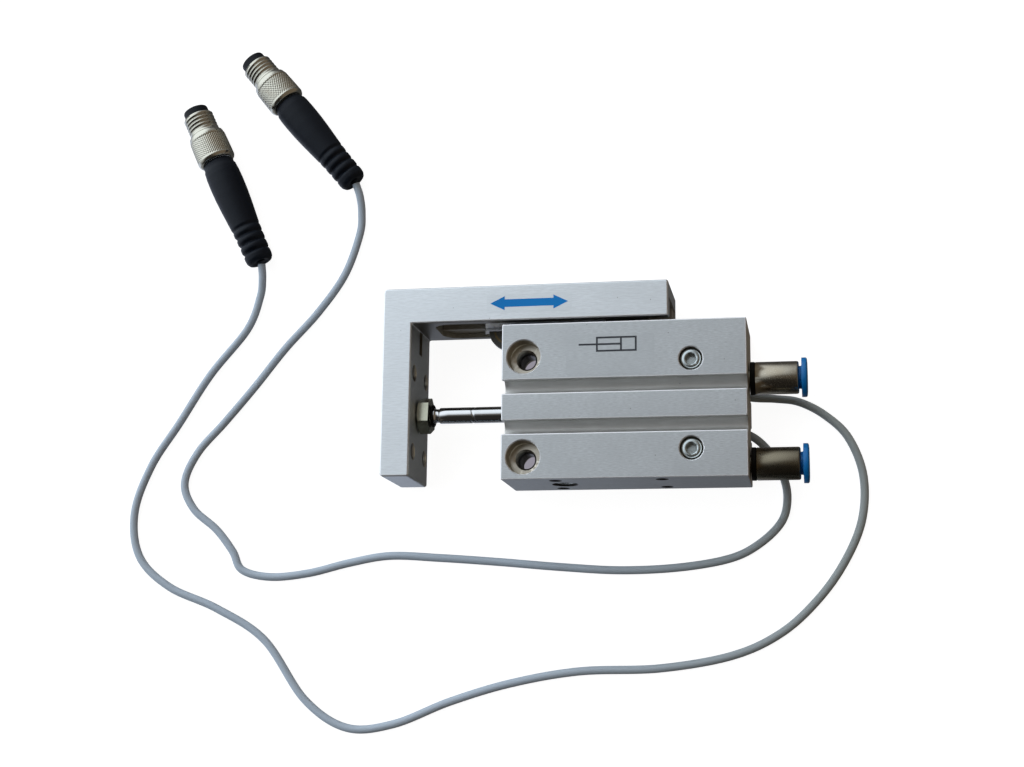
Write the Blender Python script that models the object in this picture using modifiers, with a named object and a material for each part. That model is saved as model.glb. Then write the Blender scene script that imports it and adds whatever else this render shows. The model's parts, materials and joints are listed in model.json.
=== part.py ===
"""Pneumatic mini slide: a guided cylinder with an L-shaped yoke, two push-in
fittings and two proximity sensors on M8 leads.

Frame: +X runs from the yoke to the fittings, +Y towards the guide, +Z up.
The origin is on the housing's back face, under the cylinder's axis, halfway
along the housing.  Sizes are in millimetres and the helpers below turn them
into metres.  The yoke is modelled pushed out; it draws in 20 mm along +X.
"""

from math import cos, pi, radians, sin, sqrt

import bmesh
import bpy
from mathutils import Vector

MM = 0.001
GAP = 0.3                      # clearance between neighbouring solids

# ---- driving dimensions ---------------------------------------------------
LENGTH = 58.8                  # housing, along X
Y_OPEN = -17.6                 # housing side with the threaded holes
Y_GUIDE = 20.4                 # housing side that carries the guide
HEIGHT = 20.0
AXIS_Z = HEIGHT / 2
X_FRONT = -LENGTH / 2
X_REAR = LENGTH / 2
EDGE = 0.35                    # small chamfer on the aluminium edges

BORE_R = 5.0
ROD_R = 2.0

YOKE_X_OUT = -59.3
YOKE_X_IN = -52.0
YOKE_Y_LOW = -16.4
YOKE_Y_IN = 21.4
YOKE_Y_OUT = 30.3
YOKE_X_END = 11.0

SLOT_Y = 4.93                  # sensor slots, each side of the axis
SLOT_WIDTH = 3.3
SLOT_R = 2.15
SLOT_DEPTH = 2.75              # from the face to the round part's centre

BOLT_X, BOLT_Y = -24.0, 12.25  # counterbored fixing holes
RELIEF_DEPTH = 5.5             # their wider part at the bottom
PLUG_X, PLUG_Y = 16.2, 10.75   # blanked ports in the top face
PORT_Y = (7.44, -13.34)        # rear ports with the push-in fittings
SIDE_HOLE_X = (-16.6, 9.0)
SIDE_HOLE_DZ = 6.5
CROSS_X = -15.15               # blanked cross-drilling in the open side
TOOL_Y, TOOL_Z = 9.75, 6.0     # half spacings of the yoke's threaded holes

RAIL_HALF = 1.1                # guide rail: half thickness
RAIL_Y = (15.6, 25.3)
RAIL_END = 5.5                 # the yoke covers the rail over its whole stroke
CAP_R = 4.7                    # rail end caps: quarter discs centred on CAP_Y
CAP_Y = 20.95
CAP_SLOT_HALF = 1.45           # slot in the yoke that clears the front cap
CHANNEL_HALF = 7.5             # guide channel in the yoke: half height
CHANNEL_Y = 26.6
CHANNEL_X = -47.3
CHANNEL_CORNER = 4.0           # radius of the channel's two closed corners
RAIL_STEP = (-26.9, 21.0)      # the rail's front is lower: the channel's end passes

CABLE_D = 2.0

# Routes of the sensor leads on the surface the slide lies on: X, Y, Z.
CABLE_1_ROUTE = [
    (24.4, 4.9, 2.0), (27.5, 4.6, 1.9), (31, 4.2, 1.5), (35.5, 4.0, 1.1),
    (41, 3.1, 1.05), (47, -0.2, 1.05), (52.5, -5.8, 1.05), (55.8, -15, 1.05),
    (55.3, -25.5, 1.05), (51.3, -35.2, 1.05), (44.8, -44.4, 1.05),
    (35.8, -52.6, 1.05), (24, -58.1, 1.05), (6.5, -61.2, 1.05),
    (-13, -62, 1.05), (-30, -65, 1.05), (-45, -69.5, 1.05), (-59, -75, 1.05),
    (-71, -76, 1.05), (-82, -69.2, 1.05), (-93, -54.6, 1.05),
    (-106, -46.7, 1.05), (-119, -41.2, 1.05), (-127.5, -33.4, 1.05),
    (-129.5, -22, 1.05), (-125.5, -9.8, 1.05), (-118.5, 1.2, 1.05),
    (-110.5, 14, 1.05), (-101, 25.8, 1.05), (-97.7, 34.3, 1.5),
    (-96.8, 39, 2.9), (-96.9, 42.7, 3.73),
]
CABLE_2_ROUTE = [
    (4.4, -4.93, 2.0), (12, -4.9, 2.0), (20, -4.6, 1.9), (25.5, -4.35, 1.75),
    (29.4, -5.2, 1.5), (33.2, -8.6, 1.15), (36.4, -14, 1.05), (37.7, -20, 1.05),
    (36.3, -26, 1.05), (31, -31.3, 1.05), (23.8, -34.9, 1.05),
    (11.5, -37, 1.05), (-3, -37.6, 1.05), (-18, -36.7, 1.05),
    (-33, -35.4, 1.05), (-48, -34.3, 1.05), (-61, -33.7, 1.05),
    (-71.5, -35.4, 1.05), (-82, -37.9, 1.05), (-92, -38.8, 1.05),
    (-99.6, -37, 1.05), (-102.4, -32.2, 1.05), (-107, -26.6, 1.05),
    (-113.4, -21.2, 1.05), (-116.2, -14.5, 1.05), (-113, -6.6, 1.05),
    (-106, 1.3, 1.05), (-98.2, 10.5, 1.05), (-90.3, 20.5, 1.05),
    (-82, 29.6, 1.05), (-75, 39.6, 1.05), (-71.3, 50.3, 1.05),
    (-70.7, 56, 1.8), (-71, 60.2, 3.0), (-72, 63.5, 3.73),
]
CABLE_POINTS = 78              # points along each lead's smooth curve

# M8 plugs: the tip's centre and the lead end's centre.
PLUG_1_TIP, PLUG_1_END = (-116.6, 85.4, 5.65), (-97.1, 43.1, 3.75)
PLUG_2_TIP, PLUG_2_END = (-101.2, 98.6, 5.65), (-72.3, 63.8, 3.75)


# ---- helpers ----------------------------------------------------------------
def clear_scene():
    for obj in list(bpy.data.objects):
        bpy.data.objects.remove(obj, do_unlink=True)


clear_scene()
PARTS = bpy.data.collections.new("mini_slide")
CUTTERS = bpy.data.collections.new("cutters")
bpy.context.scene.collection.children.link(PARTS)
bpy.context.scene.collection.children.link(CUTTERS)


def make_material(name, colour, roughness, metallic):
    material = bpy.data.materials.new(name)
    material.use_nodes = True
    shader = material.node_tree.nodes["Principled BSDF"]
    shader.inputs["Base Color"].default_value = (*colour, 1.0)
    shader.inputs["Roughness"].default_value = roughness
    shader.inputs["Metallic"].default_value = metallic
    return material


ALUMINIUM = make_material("anodised_aluminium", (0.47, 0.50, 0.53), 0.38, 1.0)
BRIGHT_ALUMINIUM = make_material("bright_aluminium", (0.60, 0.63, 0.66), 0.34, 1.0)
STEEL = make_material("hardened_steel", (0.42, 0.42, 0.42), 0.28, 1.0)
CHROME = make_material("chromed_steel", (0.75, 0.75, 0.76), 0.10, 1.0)
NICKEL = make_material("nickel_plated_brass", (0.55, 0.50, 0.42), 0.18, 1.0)
BRASS = make_material("brass", (0.62, 0.48, 0.22), 0.3, 1.0)
ZINC = make_material("zinc_plated_steel", (0.55, 0.60, 0.64), 0.25, 1.0)
RUBBER = make_material("black_rubber", (0.015, 0.015, 0.016), 0.7, 0.0)
BLACK_PLASTIC = make_material("black_plastic", (0.02, 0.022, 0.026), 0.45, 0.0)
BLUE_PLASTIC = make_material("blue_plastic", (0.01, 0.14, 0.42), 0.35, 0.0)
CABLE_GREY = make_material("grey_cable_jacket", (0.23, 0.25, 0.25), 0.5, 0.0)
GOLD = make_material("gold_plated_contact", (0.80, 0.60, 0.25), 0.2, 1.0)


def add_object(name, data, material, collection):
    obj = bpy.data.objects.new(name, data)
    collection.objects.link(obj)
    if material:
        data.materials.append(material)
    if collection is CUTTERS:
        obj.hide_render = True
        obj.display_type = "WIRE"
    return obj


def from_bmesh(name, bm, material, collection):
    mesh = bpy.data.meshes.new(name)
    bm.to_mesh(mesh)
    bm.free()
    return add_object(name, mesh, material, collection)


def aim(obj, start, direction):
    """Put the object's origin at start, with its local +Z along direction."""
    obj.location = Vector(start) * MM
    obj.rotation_euler = Vector(direction).to_track_quat("Z", "Y").to_euler()


def box(name, low, high, material=None, collection=CUTTERS, edge=0.0):
    bm = bmesh.new()
    bmesh.ops.create_cube(bm, size=1.0)
    size = [(h - l) * MM for l, h in zip(low, high)]
    bmesh.ops.scale(bm, vec=size, verts=bm.verts)
    obj = from_bmesh(name, bm, material, collection)
    obj.location = [(l + h) / 2 * MM for l, h in zip(low, high)]
    if edge:
        add_bevel(obj, edge)
    return obj


def cylinder(name, radius, start, end, material=None, collection=CUTTERS,
             sides=24, edge=0.0):
    """A round bar (or, with sides=6, a hexagonal one) between two points."""
    start, end = Vector(start), Vector(end)
    length = (end - start).length * MM
    bm = bmesh.new()
    bmesh.ops.create_cone(bm, cap_ends=True, segments=sides, radius1=radius * MM,
                          radius2=radius * MM, depth=length)
    bmesh.ops.translate(bm, vec=(0, 0, length / 2), verts=bm.verts)
    for face in bm.faces:
        face.smooth = len(face.verts) == 4 and sides > 6
    obj = from_bmesh(name, bm, material, collection)
    aim(obj, start, end - start)
    if edge:
        add_bevel(obj, edge)
    return obj


def turned(name, profile, start, direction, material=None, collection=PARTS,
           sides=24):
    """Spin a profile of (radius, height) points about the line from start.

    The points run down the outer side from the far end, and back up the bore
    where there is one: a profile that starts and ends on the axis is solid.
    """
    solid = profile[0][0] == 0
    mesh = bpy.data.meshes.new(name)
    count = len(profile)
    edges = [(i, i + 1) for i in range(count - 1)]
    if not solid:
        edges.append((count - 1, 0))
    mesh.from_pydata([(r * MM, 0, h * MM) for r, h in profile], edges, [])
    obj = add_object(name, mesh, material, collection)
    screw = obj.modifiers.new("turn", "SCREW")
    screw.steps = screw.render_steps = sides
    screw.use_merge_vertices = True
    screw.merge_threshold = 0.00001
    screw.use_smooth_shade = False
    aim(obj, start, direction)
    return obj


def ring_profile(inner, outer, low, high, edge=0.0):
    """Profile of a plain ring; edge chamfers its two outer corners."""
    if not edge:
        return [(outer, high), (outer, low), (inner, low), (inner, high)]
    return [(outer - edge, high), (outer, high - edge), (outer, low + edge),
            (outer - edge, low), (inner, low), (inner, high)]


def torus(name, major, minor, centre, direction, material):
    """A rubber ring with a round section, made by turning a circle."""
    steps = 6
    profile = [(major + minor * cos(2 * pi * i / steps),
                -minor * sin(2 * pi * i / steps)) for i in range(steps)]
    return turned(name, profile, centre, direction, material, sides=18)


def prism(name, outline, thickness, material=None, collection=CUTTERS):
    """A flat outline in local XY with its thickness along local Z, as a mesh."""
    curve = bpy.data.curves.new(name, "CURVE")
    curve.dimensions = "2D"
    curve.fill_mode = "BOTH"
    curve.extrude = thickness / 2 * MM
    spline = curve.splines.new("POLY")
    spline.points.add(len(outline) - 1)
    for point, (x, y) in zip(spline.points, outline):
        point.co = (x * MM, y * MM, 0, 1)
    spline.use_cyclic_u = True
    drawn = add_object(name + "_outline", curve, None, CUTTERS)
    bpy.context.view_layer.update()
    graph = bpy.context.evaluated_depsgraph_get()
    mesh = bpy.data.meshes.new_from_object(drawn.evaluated_get(graph))
    bpy.data.objects.remove(drawn, do_unlink=True)
    bm = bmesh.new()
    bm.from_mesh(mesh)
    bmesh.ops.remove_doubles(bm, verts=bm.verts, dist=0.000001)
    bmesh.ops.recalc_face_normals(bm, faces=bm.faces)
    bm.to_mesh(mesh)
    bm.free()
    mesh.name = name
    mesh.materials.clear()
    return add_object(name, mesh, material, collection)


def arc(centre, radius, start_deg, end_deg, steps):
    """Points on an arc in the XY plane, both ends included."""
    angles = [radians(start_deg + (end_deg - start_deg) * i / steps)
              for i in range(steps + 1)]
    return [(centre[0] + radius * cos(a), centre[1] + radius * sin(a))
            for a in angles]


def add_bevel(obj, width, segments=1):
    bevel = obj.modifiers.new("edges", "BEVEL")
    bevel.width = width * MM
    bevel.segments = segments
    bevel.limit_method = "ANGLE"
    bevel.angle_limit = radians(40)


def combine(target, other, operation):
    modifier = target.modifiers.new(other.name, "BOOLEAN")
    modifier.operation = operation
    modifier.object = other
    modifier.solver = "EXACT"


def cut(target, *cutters):
    for cutter in cutters:
        combine(target, cutter, "DIFFERENCE")


def fuse(target, *others):
    for other in others:
        combine(target, other, "UNION")


def drill(target, name, radius, start, end, sides=24):
    cut(target, cylinder(name, radius, start, end, sides=sides))


def smooth_route(points, count):
    """Points at even steps along a Catmull-Rom curve through the given ones."""
    knots = [Vector(p) for p in points]
    knots = [2 * knots[0] - knots[1]] + knots + [2 * knots[-1] - knots[-2]]
    fine = []
    steps = 24
    for a, b, c, d in zip(knots, knots[1:], knots[2:], knots[3:]):
        for i in range(steps):
            t = i / steps
            fine.append(0.5 * (2 * b + (c - a) * t
                               + (2 * a - 5 * b + 4 * c - d) * t ** 2
                               + (3 * b - a - 3 * c + d) * t ** 3))
    fine.append(knots[-2])
    lengths = [0.0]
    for p, q in zip(fine, fine[1:]):
        lengths.append(lengths[-1] + (q - p).length)
    route, k = [], 0
    for i in range(count):
        want = lengths[-1] * i / (count - 1)
        while k < len(fine) - 2 and lengths[k + 1] < want:
            k += 1
        share = (want - lengths[k]) / (lengths[k + 1] - lengths[k])
        route.append(fine[k].lerp(fine[k + 1], share))
    return route


def cable(name, route):
    curve = bpy.data.curves.new(name, "CURVE")
    curve.dimensions = "3D"
    curve.bevel_depth = CABLE_D / 2 * MM
    curve.bevel_resolution = 2
    curve.use_fill_caps = True
    points = smooth_route(route, CABLE_POINTS)
    spline = curve.splines.new("POLY")
    spline.points.add(len(points) - 1)
    for knot, point in zip(spline.points, points):
        knot.co = (*(point * MM), 1)
    return add_object(name, curve, CABLE_GREY, PARTS)


# ---- housing ----------------------------------------------------------------
def build_housing():
    housing = box("housing", (X_FRONT, Y_OPEN, 0), (X_REAR, Y_GUIDE, HEIGHT),
                  ALUMINIUM, PARTS, edge=EDGE)
    cut_cylinder_bore(housing)
    cut_sensor_slots(housing)
    cut_fixing_holes(housing)
    cut_ports(housing)
    cut_rail_seat(housing)


SEAT_R = 5.6                   # front seat of the bearing cap
SEAT_END = -19.3
BORE_END = 16.6


def cut_cylinder_bore(housing):
    drill(housing, "bore_cut", BORE_R, (X_FRONT - 1, 0, AXIS_Z),
          (BORE_END, 0, AXIS_Z), sides=28)
    drill(housing, "seat_cut", SEAT_R, (X_FRONT - 1, 0, AXIS_Z),
          (SEAT_END, 0, AXIS_Z), sides=28)
    drill(housing, "circlip_groove_cut", SEAT_R + 0.4, (-28.9, 0, AXIS_Z),
          (-27.7, 0, AXIS_Z), sides=28)


def cut_sensor_slots(housing):
    for face, outward in ((0, -1), (HEIGHT, 1)):
        centre_z = face - outward * SLOT_DEPTH
        for side in (-1, 1):
            y = side * SLOT_Y
            label = f"slot_{'top' if outward > 0 else 'back'}_{'guide' if side > 0 else 'open'}"
            low, high = sorted((centre_z, face + outward))
            cut(housing,
                box(label + "_mouth", (X_FRONT - 1, y - SLOT_WIDTH / 2, low),
                    (X_REAR + 1, y + SLOT_WIDTH / 2, high)),
                cylinder(label + "_round", SLOT_R, (X_FRONT - 2, y, centre_z),
                         (X_REAR + 2, y, centre_z), sides=12))


def cut_fixing_holes(housing):
    for side in (-1, 1):
        y = side * BOLT_Y
        drill(housing, f"bolt_hole_{side}", 2.15, (BOLT_X, y, -1),
              (BOLT_X, y, HEIGHT + 1), sides=16)
        drill(housing, f"counterbore_{side}", 4.1, (BOLT_X, y, HEIGHT - 4.6),
              (BOLT_X, y, HEIGHT + 1.5))
        drill(housing, f"relief_{side}", 3.3, (BOLT_X, y, -1),
              (BOLT_X, y, RELIEF_DEPTH), sides=20)
    for i, x in enumerate(SIDE_HOLE_X):
        for side in (-1, 1):
            z = AXIS_Z + side * SIDE_HOLE_DZ
            drill(housing, f"side_hole_{i}_{side}", 1.25, (x, Y_OPEN - 1, z),
                  (x, Y_OPEN + 6, z), sides=12)


PORT_R = 2.5
PORT_END = 23.4


def cut_ports(housing):
    for i, y in enumerate(PORT_Y):
        drill(housing, f"rear_port_{i + 1}", PORT_R, (PORT_END, y, AXIS_Z),
              (X_REAR + 1, y, AXIS_Z), 16)
    for i, side in enumerate((1, -1)):
        drill(housing, f"top_port_{i + 1}", 2.1, (PLUG_X, side * PLUG_Y, 9.2),
              (PLUG_X, side * PLUG_Y, HEIGHT + 1), 16)
        drill(housing, f"top_port_mouth_{i + 1}", 2.8,
              (PLUG_X, side * PLUG_Y, 15.2), (PLUG_X, side * PLUG_Y, HEIGHT + 2), 20)
    # air ways: rear chamber, top port 1, and the long way to the front chamber
    drill(housing, "air_way_rear", 1.0, (15.5, 4.9, AXIS_Z), (24.5, 4.9, AXIS_Z), 8)
    drill(housing, "air_way_top", 1.0, (15.5, 9.2, AXIS_Z), (24.5, 9.2, AXIS_Z), 8)
    drill(housing, "air_way_long", 1.25, (CROSS_X, PORT_Y[1], AXIS_Z),
          (24.5, PORT_Y[1], AXIS_Z), 8)
    drill(housing, "air_way_cross", 1.2, (CROSS_X, Y_OPEN - 1, AXIS_Z),
          (CROSS_X, -4, AXIS_Z), 8)
    drill(housing, "side_port_mouth", 3.05, (CROSS_X, Y_OPEN - 2, AXIS_Z),
          (CROSS_X, Y_OPEN + 3.2, AXIS_Z), 20)


CLAMP_SCREW_X = (-18.0, 1.0)
CLAMP_SCREW_Y = 17.9


def cut_rail_seat(housing):
    half = RAIL_HALF + GAP
    cut(housing, box("rail_seat_cut", (X_FRONT - 1, RAIL_Y[0] - GAP, AXIS_Z - half),
                     (RAIL_END + CAP_R + 2 * GAP, Y_GUIDE + 1, AXIS_Z + half)))
    for i, x in enumerate(CLAMP_SCREW_X):
        drill(housing, f"clamp_screw_hole_{i + 1}", 1.55, (x, CLAMP_SCREW_Y, -1),
              (x, CLAMP_SCREW_Y, AXIS_Z), 12)


# ---- cylinder: what stands still ---------------------------------------------
def build_front_cap():
    """Bearing cap, its seals, the circlip that holds it, and the end cushions."""
    bearing_r = ROD_R + GAP
    base = (-27.5, 0, AXIS_Z)
    outer = SEAT_R - GAP
    profile = [
        (outer, 8.0), (outer, 6.4), (4.1, 6.4), (4.1, 4.8), (outer, 4.8),
        (outer, 0), (3.6, 0), (3.6, 3.2), (bearing_r, 3.2), (bearing_r, 8.0),
    ]
    turned("front_bearing_cap", profile, base, (1, 0, 0), BRASS)
    lip = [(3.3, 2.6), (3.3, 0.4), (2.9, 0.4), (bearing_r, 1.2), (bearing_r, 2.6)]
    turned("rod_seal", lip, base, (1, 0, 0), RUBBER, sides=24)
    torus("cap_o_ring", 4.75, 0.45, (-21.9, 0, AXIS_Z), (1, 0, 0), RUBBER)
    turned("front_cushion", ring_profile(bearing_r, 3.6, 0, 2.2, 0.3),
           (-19.1, 0, AXIS_Z), (1, 0, 0), RUBBER, sides=24)
    cylinder("rear_cushion", 4.5, (14.5, 0, AXIS_Z), (16.3, 0, AXIS_Z), RUBBER,
             PARTS, sides=24, edge=0.4)
    circlip = turned("retaining_ring", ring_profile(4.8, 5.85, 0, 0.6),
                     (-28.6, 0, AXIS_Z), (1, 0, 0), STEEL)
    cut(circlip, box("circlip_gap", (-29.5, -1.2, AXIS_Z + 3), (-27, 1.2, AXIS_Z + 8)))


def hex_socket(name, across, start, end):
    """Cutter for a hexagonal key socket of the given width across flats."""
    return cylinder(name, across / sqrt(3), start, end, sides=6)


def build_plugs():
    for i, side in enumerate((1, -1)):
        x, y = PLUG_X, side * PLUG_Y
        plug = cylinder(f"top_port_plug_{i + 1}", 2.5, (x, y, 15.5),
                        (x, y, HEIGHT - 0.5), ZINC, PARTS, sides=24, edge=0.35)
        cut(plug, hex_socket(f"top_socket_{i + 1}", 2.5, (x, y, 17.2), (x, y, 21)))
    plug = cylinder("side_port_plug", 2.75, (CROSS_X, Y_OPEN + 2.9, AXIS_Z),
                    (CROSS_X, Y_OPEN + 0.4, AXIS_Z), ZINC, PARTS, edge=0.3)
    cut(plug, hex_socket("side_socket", 2.5, (CROSS_X, Y_OPEN + 1.9, AXIS_Z),
                         (CROSS_X, Y_OPEN - 1, AXIS_Z)))


# ---- push-in fittings ----------------------------------------------------------
FITTING_R = 3.95
FITTING_FRONT = 31.3           # front of the fitting's round body
FITTING_END = 41.0
RING_TRAVEL = 0.6              # how far a release ring can be pressed


def build_fitting(number, y):
    x_thread = PORT_END + 1.0
    body_end = FITTING_END - x_thread
    shoulder = FITTING_FRONT - x_thread
    bore, way = 3.05, 1.25
    profile = [
        (FITTING_R - 0.4, body_end), (FITTING_R, body_end - 0.4),
        (FITTING_R, shoulder), (PORT_R - GAP, shoulder), (PORT_R - GAP, 0.3),
        (PORT_R - GAP - 0.3, 0), (way, 0), (way, shoulder + 2.6),
        (bore, shoulder + 2.6), (bore, body_end),
    ]
    start = (x_thread, y, AXIS_Z)
    turned(f"port_fitting_{number}", profile, start, (1, 0, 0), NICKEL)
    gasket = ring_profile(PORT_R + 0.1, 4.3, 0, FITTING_FRONT - X_REAR - 2 * GAP, 0.2)
    turned(f"fitting_gasket_{number}", gasket, (X_REAR + GAP, y, AXIS_Z), (1, 0, 0),
           RUBBER)
    torus(f"tube_seal_{number}", 2.4, 0.4, (34.6, y, AXIS_Z), (1, 0, 0), RUBBER)
    grip = [(2.7, 0.9), (2.7, 0), (2.3, 0), (2.1, 0.9)]
    turned(f"tube_collet_{number}", grip, (35.6, y, AXIS_Z), (1, 0, 0), STEEL, sides=24)
    # release ring: a sleeve in the body, a neck, and the flange that is pressed
    sleeve_start = 37.4
    flange, end = 41.9 - sleeve_start, 43.3 - sleeve_start
    ring = [
        (3.0, end), (4.5, end - 0.35), (4.75, end - 0.6), (4.75, flange),
        (2.75, flange), (2.75, 0), (2.1, 0), (2.1, end),
    ]
    holder = bpy.data.objects.new(f"release_axis_{number}", None)
    PARTS.objects.link(holder)
    holder.location = Vector((sleeve_start, y, AXIS_Z)) * MM
    piece = turned(f"release_ring_{number}", ring, (0, 0, 0), (1, 0, 0), BLUE_PLASTIC)
    piece.parent = holder


# ---- guide ---------------------------------------------------------------------
def build_guide():
    """Fixed rail in the housing's side, its clamp screws and its end caps."""
    low, high = AXIS_Z - RAIL_HALF, AXIS_Z + RAIL_HALF
    rail = box("guide_rail", (X_FRONT, RAIL_Y[0], low), (RAIL_END, RAIL_Y[1], high),
               STEEL, PARTS, edge=0.15)
    cut(rail, box("rail_step_cut", (X_FRONT - 1, RAIL_STEP[1], low - 1),
                  (RAIL_STEP[0], RAIL_Y[1] + 1, high + 1)))
    for name, x, turn in (("rail_end_cap_front", X_FRONT - GAP, 180),
                          ("rail_end_cap_rear", RAIL_END + GAP, -90)):
        outline = arc((0, 0), CAP_R, turn, turn + 90, 8) + [(0, 0)]
        cap = prism(name, outline, 2 * RAIL_HALF, BLACK_PLASTIC, PARTS)
        cap.location = Vector((x, CAP_Y, AXIS_Z)) * MM
    for i, x in enumerate(CLAMP_SCREW_X):
        screw = cylinder(f"rail_clamp_screw_{i + 1}", 1.25, (x, CLAMP_SCREW_Y, low - GAP),
                         (x, CLAMP_SCREW_Y, 0.5), STEEL, PARTS, sides=12)
        cut(screw, hex_socket(f"clamp_socket_{i + 1}", 1.3, (x, CLAMP_SCREW_Y, 2),
                              (x, CLAMP_SCREW_Y, -1)))


CAGE_X = (-35.5, -5.0)
CAGE_Y = (21.75, 26.2)
CAGE_T = 0.5
BALL_R = 0.6
BALL_Z = 2.15                  # ball rows above and below the rail's middle
SKIRT_Z = 6.3                  # half height of the cage's skirts
BALL_COUNT = 6


def build_ball_cage():
    """U-shaped cage round the rail, with two rows of balls held in it."""
    inner = BALL_Z - CAGE_T / 2
    outer = BALL_Z + CAGE_T / 2
    cage = box("ball_cage", (CAGE_X[0], CAGE_Y[1] - CAGE_T, AXIS_Z - outer),
               (CAGE_X[1], CAGE_Y[1], AXIS_Z + outer), ZINC, PARTS)
    for side, label in ((1, "upper"), (-1, "lower")):
        flange = sorted((AXIS_Z + side * inner, AXIS_Z + side * outer))
        skirt = sorted((AXIS_Z + side * inner, AXIS_Z + side * SKIRT_Z))
        fuse(cage,
             box(f"cage_flange_{label}", (CAGE_X[0], CAGE_Y[0], flange[0]),
                 (CAGE_X[1], CAGE_Y[1], flange[1])),
             box(f"cage_skirt_{label}", (CAGE_X[0], CAGE_Y[0], skirt[0]),
                 (CAGE_X[1], CAGE_Y[0] + CAGE_T, skirt[1])))
        for i in range(BALL_COUNT):
            x = CAGE_X[0] + 3.2 + i * (CAGE_X[1] - CAGE_X[0] - 6.4) / (BALL_COUNT - 1)
            bm = bmesh.new()
            bmesh.ops.create_uvsphere(bm, u_segments=8, v_segments=5, radius=BALL_R * MM)
            ball = from_bmesh(f"ball_{label}_{i}", bm, None, CUTTERS)
            ball.location = Vector((x, 24.1, AXIS_Z + side * BALL_Z)) * MM
            fuse(cage, ball)
    return cage


# ---- yoke and what moves with it -----------------------------------------------
def channel_outline():
    """The guide channel seen from the housing: X and height above the axis."""
    x, z = CHANNEL_X + CHANNEL_CORNER, CHANNEL_HALF - CHANNEL_CORNER
    return ([(YOKE_X_END + 1, -CHANNEL_HALF), (YOKE_X_END + 1, CHANNEL_HALF)]
            + arc((x, z), CHANNEL_CORNER, 90, 180, 6)
            + arc((x, -z), CHANNEL_CORNER, 180, 270, 6))


def build_yoke():
    outline = [
        (YOKE_X_OUT, YOKE_Y_LOW), (YOKE_X_IN, YOKE_Y_LOW), (YOKE_X_IN, YOKE_Y_IN),
        (YOKE_X_END, YOKE_Y_IN), (YOKE_X_END, YOKE_Y_OUT), (YOKE_X_OUT, YOKE_Y_OUT),
    ]
    lift = 0.3                 # the yoke runs clear of the surface below
    yoke = prism("yoke", outline, HEIGHT - lift, BRIGHT_ALUMINIUM, PARTS)
    yoke.location.z = (HEIGHT + lift) / 2 * MM
    add_bevel(yoke, EDGE)
    # guide channel with rounded corners, and the slot that clears the rail's cap
    channel = prism("channel_cut", channel_outline(), CHANNEL_Y - YOKE_Y_IN + 1)
    channel.location = Vector((0, (CHANNEL_Y + YOKE_Y_IN - 1) / 2, AXIS_Z)) * MM
    channel.rotation_euler = (pi / 2, 0, 0)
    cut(yoke, channel,
        box("cap_slot_cut", (YOKE_X_IN - 3.6, 15.4, AXIS_Z - CAP_SLOT_HALF),
            (YOKE_X_IN + 1, CAP_Y + GAP, AXIS_Z + CAP_SLOT_HALF)))
    drill(yoke, "rod_hole", ROD_R + GAP, (YOKE_X_OUT - 1, 0, AXIS_Z),
          (YOKE_X_IN + 1, 0, AXIS_Z), 16)
    for y in (-TOOL_Y, TOOL_Y):
        for z in (-TOOL_Z, TOOL_Z):
            drill(yoke, f"tool_hole_{y:+.0f}_{z:+.0f}", 1.9,
                  (YOKE_X_OUT - 1, y, AXIS_Z + z), (YOKE_X_IN + 1, y, AXIS_Z + z), 16)
    return yoke


def build_race_strips():
    """Hardened strips in the yoke's channel, with their front corners cut off."""
    strips = []
    depth = CHANNEL_Y - GAP - 22.6
    front, rear = CHANNEL_X + GAP, YOKE_X_END - GAP
    near, far = 3.0, CHANNEL_HALF - GAP
    corner = CHANNEL_CORNER - GAP
    for side, label in ((1, "upper"), (-1, "lower")):
        outline = [(rear, near), (rear, far), (front + corner, far),
                   (front, far - corner), (front, near)]
        outline = [(x, side * z) for x, z in outline]
        strip = prism(f"race_strip_{label}", outline, depth, STEEL, PARTS)
        strip.location = Vector((0, CHANNEL_Y - GAP - depth / 2, AXIS_Z)) * MM
        strip.rotation_euler = (pi / 2, 0, 0)
        strips.append(strip)
    return strips


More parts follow.
